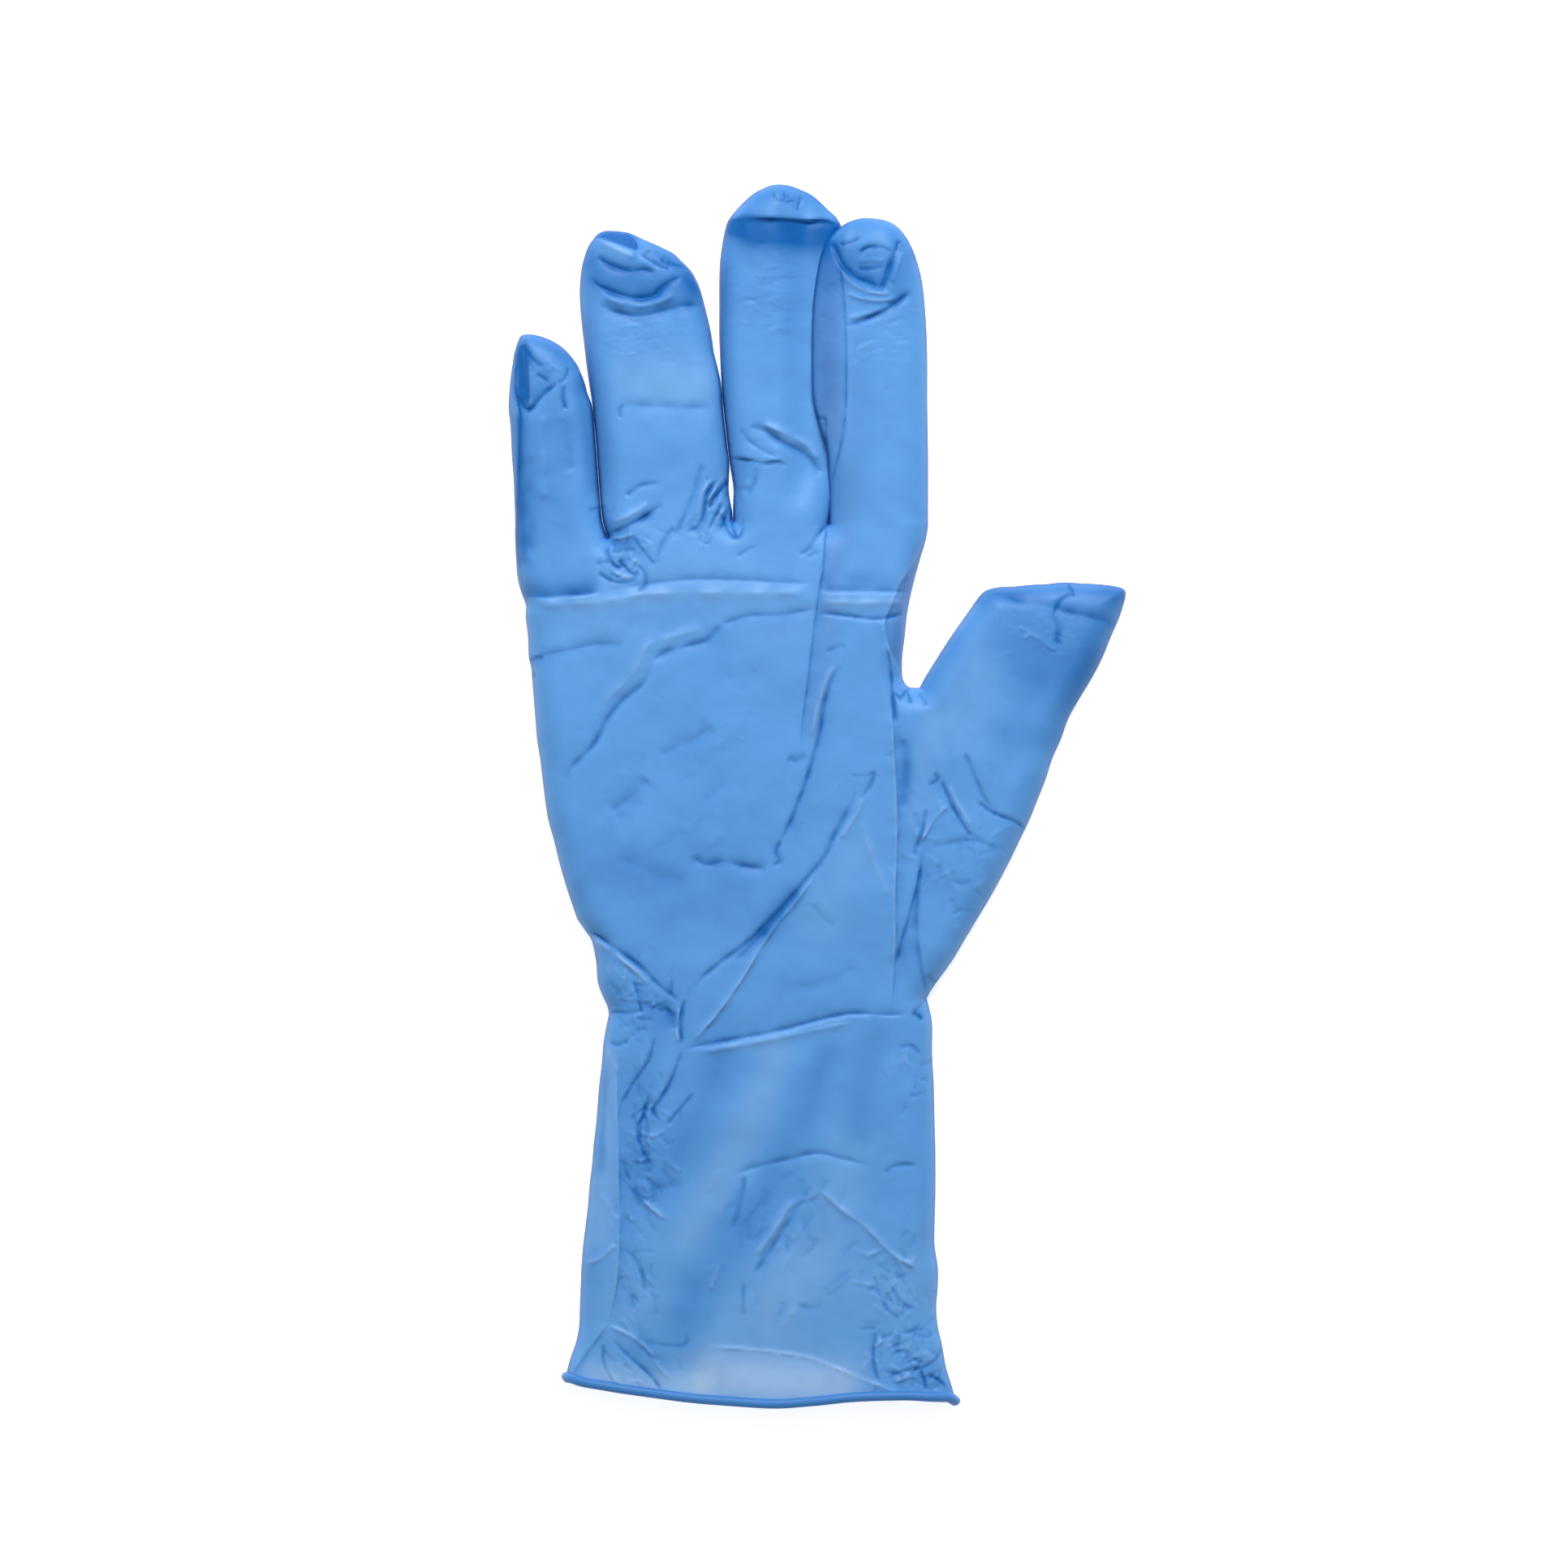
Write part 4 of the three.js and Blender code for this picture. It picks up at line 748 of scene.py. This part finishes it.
def triangulate(outline, inner):
    """Triangles over the outline's inside with the outline's and inner places as corners."""
    corners = [Vector(p) for p in outline] + [Vector(p) for p in inner]
    found = delaunay_2d_cdt(corners, [], [list(range(len(outline)))], KEEP_INSIDE, JOIN_DISTANCE)
    used = sorted({i for face in found[2] for i in face})
    number = {old: new for new, old in enumerate(used)}
    points = np.array([found[0][i][:] for i in used])
    faces = np.array([[number[i] for i in face] for face in found[2]])
    return points, faces


class Sheet:
    """One layer of the film: its plan and triangles, and then its heights z and its tones."""

    def __init__(self, outline, mouth_count, inner):
        self.plan, self.faces = triangulate(outline, inner)
        self.inside = outline_distance(self.plan, outline, mouth_count - 1)
        self.index = is_index(self.plan)

    def place(self):
        """The plan with the index finger moved back."""
        back = self.plan.copy()
        back[:, 0] -= np.where(self.index, aside(back[:, 1]), 0)
        return back

    def points(self):
        return np.column_stack([self.place(), self.z])


def rise_at(sheet):
    """How far the film stands over its edge well inside the outline."""
    x, y = sheet.plan.T
    rise = CUFF_RISE + (PALM_RISE - CUFF_RISE) * ease(*WRIST_Y, y)
    rise += (FINGER_RISE - PALM_RISE) * ease(*KNUCKLE_Y, y)
    rise += (FINGER_RISE - PALM_RISE) * ease(*THUMB_X, x) * (y < THUMB_TOP_Y)
    pressed = pressed_at(sheet)
    return rise * (1 - pressed) + PRESSED_RISE * pressed - LAP_FLATTENING * lap_at(sheet)


def pressed_at(sheet):
    """1 where the middle finger lies under the index finger."""
    x, y = sheet.plan.T
    near = ease(LAP_LEFT - PRESSED_WIDTH, LAP_LEFT - PRESSED_EDGE, x)
    near *= ease(CROTCH_Y, CROTCH_Y + PRESSED_LENGTH, y)
    return np.where(sheet.index | (x > LAP_LEFT + PRESSED_END), 0, near)


def lap_at(sheet):
    """How high the index finger lies over the surface, on the middle finger's edge."""
    x, y = sheet.place().T
    fall = 1 - ease(LAP_LEFT + LAP_WIDTH, LAP_LEFT + LAP_WIDTH + LAP_FALL, x)
    return np.where(sheet.index, LAP_HEIGHT * fall * ease(CROTCH_Y - LAP_START, CROTCH_Y + LAP_LENGTH, y), 0)


def crease(distance, width):
    """The height of a crease beside its line, 1 on it: a sharp middle on a soft foot."""
    sharp = np.exp(-distance / (SHARP_WIDTH * width))
    return SHARP_SHARE * sharp + (1 - SHARP_SHARE) * np.exp(-((distance / width) ** 2))


def waves(sheet, table):
    """The sum of a table's slow waves at each place."""
    return np.array([
        sum(strength * noise.noise(Vector((x / size, y / size, layer))) for strength, size, layer in table)
        for x, y in sheet.plan
    ])


def fold_marks(sheet, folds, fade):
    """Each fold with the places near it, and how much of its line and of its shade they have."""
    uneven = 1 + waves(sheet, FOLD_WAVES)
    for fold in folds:
        shaded = any(fold["shade"])
        reach = max(fold["width"] * CREASE_REACH, fold["reach"] * SHADE_REACH if shaded else 0)
        near, distance, offset, share = nearest(sheet.plan, fold["plan"], reach)
        amount = both_ends(*fade, share) * uneven[near]
        line = crease(distance, fold["width"])
        side = offset @ np.array(fold["shade"], float) / np.maximum(distance, SHADE_BLUR)
        yield fold, near, line * amount, side * np.exp(-distance / fold["reach"]) * amount


def upper_heights(sheet, folds):
    """Heights of the upper film: a round section over the plan, with the folds and its slackness on it."""
    dome = np.sqrt(1 - (1 - np.clip(sheet.inside / EDGE_REACH, 0, 1)) ** 2)
    base = EDGE_HEIGHT + lap_at(sheet) + rise_at(sheet) * dome
    relief = SLACK_RELIEF * waves(sheet, SLACK_WAVES)
    for fold, near, line, side in fold_marks(sheet, folds, RELIEF_FADE):
        relief[near] += FOLD_RELIEF * fold["rise"] * line - SHADE_RELIEF * side
    return base + relief * np.clip(sheet.inside / RELIEF_REACH, 0, 1)


def lower_heights(sheet):
    """Heights of the lower film: flat, with a rounded edge, and lifted by the bead at the mouth."""
    belly = (1 - np.clip(sheet.inside / BELLY_REACH, 0, 1)) ** BELLY_POWER
    lift = MOUTH_LIFT * (1 - ease(*MOUTH_Y, sheet.plan[:, 1]))
    return EDGE_HEIGHT * belly + lap_at(sheet) + lift * (1 - belly)


def tones(sheet, folds, patches):
    """Shares of the blues at each place: deep for painted shade and random mottling, pale for lighter film
    and painted highlights, violet for overlapping layers.
    """
    shares = {kind: np.zeros(len(sheet.plan)) for kind in BLUES}
    for fold, near, line, side in fold_marks(sheet, folds, TONE_FADE):
        # A crease's line gets painted shade, a ridge's line a painted highlight, and a fold's lower side
        # painted shade
        kind = "deep" if fold["tone"] > 0 else "pale"
        shares[kind][near] += FOLD_SHADE_AND_HIGHLIGHT * abs(fold["tone"]) * line
        shares["deep"][near] += SHADE_TONE * FOLD_SHADE_AND_HIGHLIGHT * side
    for patch in patches:
        near, distance, _, _ = nearest(sheet.plan, patch["plan"], patch["width"] * PATCH_REACH)
        shares[patch["kind"]][near] += patch["amount"] * np.exp(-((distance / patch["width"]) ** 2))
    # Painted shade along the edge, partly the film's own darker edge, and random mottling of the blue
    shares["deep"] += RIM_SHADE * np.exp(-((sheet.inside / RIM_SHADE_WIDTH) ** 2)) + waves(sheet, MOTTLE_WAVES)
    hidden = DEEP_OVER_PALE * np.maximum(shares["deep"], 0)
    shares["pale"] = PALE_TONE * np.maximum(shares["pale"] - hidden, 0)
    return shares


def film_material():
    """Matt blue film with a fine grain. Its blue is mixed by the shares that the mesh carries, which hold
    painted shade and painted highlights as well as the film's own changes of blue.
    """
    material = bpy.data.materials.new("nitrile_film")
    material.use_nodes = True
    nodes, links = material.node_tree.nodes, material.node_tree.links
    shader = nodes["Principled BSDF"]
    shader.inputs["Roughness"].default_value = FILM_ROUGHNESS
    shader.inputs["Specular IOR Level"].default_value = FILM_SPECULAR
    colour = None
    for kind, tint in BLUES.items():
        share = nodes.new("ShaderNodeAttribute")
        share.attribute_name = kind
        mix = nodes.new("ShaderNodeMix")
        mix.data_type = "RGBA"
        mix.clamp_factor = True
        links.new(share.outputs["Fac"], mix.inputs["Factor"])
        if colour is None:
            mix.inputs["A"].default_value = (*LIT_BLUE, 1)
        else:
            links.new(colour, mix.inputs["A"])
        mix.inputs["B"].default_value = (*tint, 1)
        colour = mix.outputs["Result"]
    links.new(colour, shader.inputs["Base Color"])
    place = nodes.new("ShaderNodeTexCoord")
    grain = nodes.new("ShaderNodeTexNoise")
    grain.inputs["Scale"].default_value = GRAIN_SCALE
    grain.inputs["Detail"].default_value = GRAIN_DETAIL
    bump = nodes.new("ShaderNodeBump")
    bump.inputs["Strength"].default_value = GRAIN_STRENGTH
    bump.inputs["Distance"].default_value = GRAIN_HEIGHT * MM
    links.new(place.outputs["Object"], grain.inputs["Vector"])
    links.new(grain.outputs["Fac"], bump.inputs["Height"])
    links.new(bump.outputs["Normal"], shader.inputs["Normal"])
    return material


def mesh_object(name, points, faces, material, smooth=True):
    mesh = bpy.data.meshes.new(name)
    mesh.from_pydata([tuple(float(c) * MM for c in p) for p in points], [], faces)
    mesh.materials.append(material)
    mesh.polygons.foreach_set("use_smooth", [smooth] * len(mesh.polygons))
    mesh.update()
    thing = bpy.data.objects.new(name, mesh)
    bpy.context.collection.objects.link(thing)
    return thing


def give_shares(thing, kind, values):
    """Puts one share of blue for each point on a mesh."""
    layer = thing.data.attributes.new(kind, "FLOAT", "POINT")
    layer.data.foreach_set("value", values)


def make_upper(outline, mouth_count, folds, patches):
    """The upper film, on a net that is fine near folds and the edge and twice as wide elsewhere."""
    net, sparse = lattice(outline, FINE_STEP)
    inside = outline_distance(net, outline)
    fine = inside < FINE_EDGE
    for fold in folds:
        near, _, _, _ = nearest(net, fold["plan"], min(fold["width"] * FINE_FOLD_SHARE, FINE_FOLD))
        fine[near] = True
    kept = (sparse | fine) & (inside > CLEAR_SHARE * FINE_STEP)
    upper = Sheet(outline, mouth_count, net[kept])
    upper.z = upper_heights(upper, folds)
    upper.tone = tones(upper, folds, patches)
    return upper


def make_plain_layers(outline, mouth_count, patches):
    """The lower film, the lining under the upper film and the lining on the lower one."""
    net, _ = lattice(outline, COARSE_STEP)
    net = net[outline_distance(net, outline) > COARSE_CLEAR_SHARE * COARSE_STEP]
    lower, roof, ground = (Sheet(outline, mouth_count, net) for _ in range(3))
    well_inside = np.clip(roof.inside / LINING_REACH, 0, 1)
    lower.z = lower_heights(lower)
    roof.z = upper_heights(roof, []) - LINING_DROP * well_inside
    ground.z = lower_heights(ground) + FILM * well_inside
    for sheet in (lower, roof, ground):
        sheet.tone = tones(sheet, [], patches)
    return lower, roof, ground


def make_film(material):
    """The upper and lower film and the lining inside them, open at the mouth, and the mouth's two lines."""
    stretches = outline_stretches()
    outline = np.concatenate([stretch[:-1] for stretch in stretches.values()])
    mouth_count = len(stretches["mouth"])
    folds = rows(FOLD_COLUMNS, FOLDS, INDEX_FOLDS) + wrinkle_folds()
    patches = rows(PATCH_COLUMNS, PATCHES, INDEX_PATCHES)

    upper = make_upper(outline, mouth_count, folds, patches)
    lower, roof, ground = make_plain_layers(outline, mouth_count, rows(PATCH_COLUMNS, [LITTLE_STRIP], []))
    layers = [(upper, False), (lower, True), (roof, True), (ground, False)]
    faces = []
    start = 0
    for sheet, turned in layers:
        faces.extend(((sheet.faces[:, ::-1] if turned else sheet.faces) + start).tolist())
        start += len(sheet.plan)
    points = np.concatenate([sheet.points() for sheet, _ in layers])
    film = mesh_object("glove_film", points, faces, material)
    for kind in BLUES:
        values = np.concatenate([sheet.tone[kind] for sheet, _ in layers])
        give_shares(film, kind, np.clip(values, -1, 1).astype(np.float32))
    return film, upper.points()[:mouth_count], lower.points()[:mouth_count]


def make_bead(material, upper_line, lower_line):
    """The rolled bead along the mouth, as one tube along the upper and lower film's ends."""
    path = np.concatenate([upper_line, lower_line[::-1][1:-1]])
    count = len(path)
    points, faces = [], []
    for k in range(count):
        along = Vector(path[(k + 1) % count] - path[k - 1]).normalized()
        out = along.cross(Vector((0, 1, 0))).normalized()
        turn = out.cross(along)
        own, following = k * BEAD_SIDES, (k + 1) % count * BEAD_SIDES
        for s in range(BEAD_SIDES):
            angle = 2 * math.pi * s / BEAD_SIDES
            beside = (s + 1) % BEAD_SIDES
            points.append(Vector(path[k]) + BEAD_RADIUS * (math.cos(angle) * out + math.sin(angle) * turn))
            faces.append([own + s, own + beside, following + beside, following + s])
    bead = mesh_object("glove_bead", points, faces, material)
    give_shares(bead, "deep", [BEAD_TONE] * len(points))
    return bead


def make_surface():
    material = bpy.data.materials.new("pale_surface")
    material.use_nodes = True
    shader = material.node_tree.nodes["Principled BSDF"]
    shader.inputs["Base Color"].default_value = (SURFACE_WHITE, SURFACE_WHITE, SURFACE_WHITE, 1)
    shader.inputs["Roughness"].default_value = SURFACE_ROUGHNESS
    shader.inputs["Emission Color"].default_value = (1, 1, 1, 1)
    shader.inputs["Emission Strength"].default_value = SURFACE_GLOW
    corners = [(x * SURFACE_HALF, y * SURFACE_HALF, 0) for x, y in [(-1, -1), (1, -1), (1, 1), (-1, 1)]]
    surface = mesh_object("surface", corners, [[0, 1, 2, 3]], material, smooth=False)


def make_light():
    world = bpy.data.worlds.new("studio")
    world.use_nodes = True
    background = world.node_tree.nodes["Background"]
    background.inputs["Color"].default_value = (1, 1, 1, 1)
    background.inputs["Strength"].default_value = WORLD_LIGHT
    bpy.context.scene.world = world
    for row in (dict(zip(LIGHT_COLUMNS, values)) for values in LIGHTS):
        light = bpy.data.lights.new(row["name"], "AREA")
        light.shape = "SQUARE"
        light.size = row["size"]
        light.energy = row["power"]
        lamp = bpy.data.objects.new(row["name"], light)
        lamp.location = row["place"]
        lamp.rotation_euler = (-Vector(row["place"])).to_track_quat("-Z", "Y").to_euler()
        bpy.context.collection.objects.link(lamp)
    bpy.context.scene.view_settings.view_transform = "Standard"


def make_camera():
    camera = bpy.data.cameras.new("camera")
    camera.lens = LENS
    camera.sensor_width = SENSOR
    eye = bpy.data.objects.new("camera", camera)
    middle = spot((PHOTO_SIDE / 2, PHOTO_SIDE / 2))
    height = PHOTO_SIDE * MM_PER_PIXEL * LENS / SENSOR + SCALE_HEIGHT
    eye.location = (middle[0] * MM, middle[1] * MM, height * MM)
    bpy.context.collection.objects.link(eye)
    bpy.context.scene.camera = eye


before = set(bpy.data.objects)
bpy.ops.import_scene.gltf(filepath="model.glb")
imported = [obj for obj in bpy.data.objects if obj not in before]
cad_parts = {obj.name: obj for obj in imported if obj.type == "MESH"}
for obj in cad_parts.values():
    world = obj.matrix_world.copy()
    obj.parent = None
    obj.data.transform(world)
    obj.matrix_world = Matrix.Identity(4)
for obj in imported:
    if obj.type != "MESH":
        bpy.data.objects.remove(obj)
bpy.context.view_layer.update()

nitrile = film_material()
film, upper_line, lower_line = make_film(nitrile)
bead = make_bead(nitrile, upper_line, lower_line)
for piece in (film, bead):
    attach(piece, "root")
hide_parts("glove")
make_surface()
make_light()
make_camera()
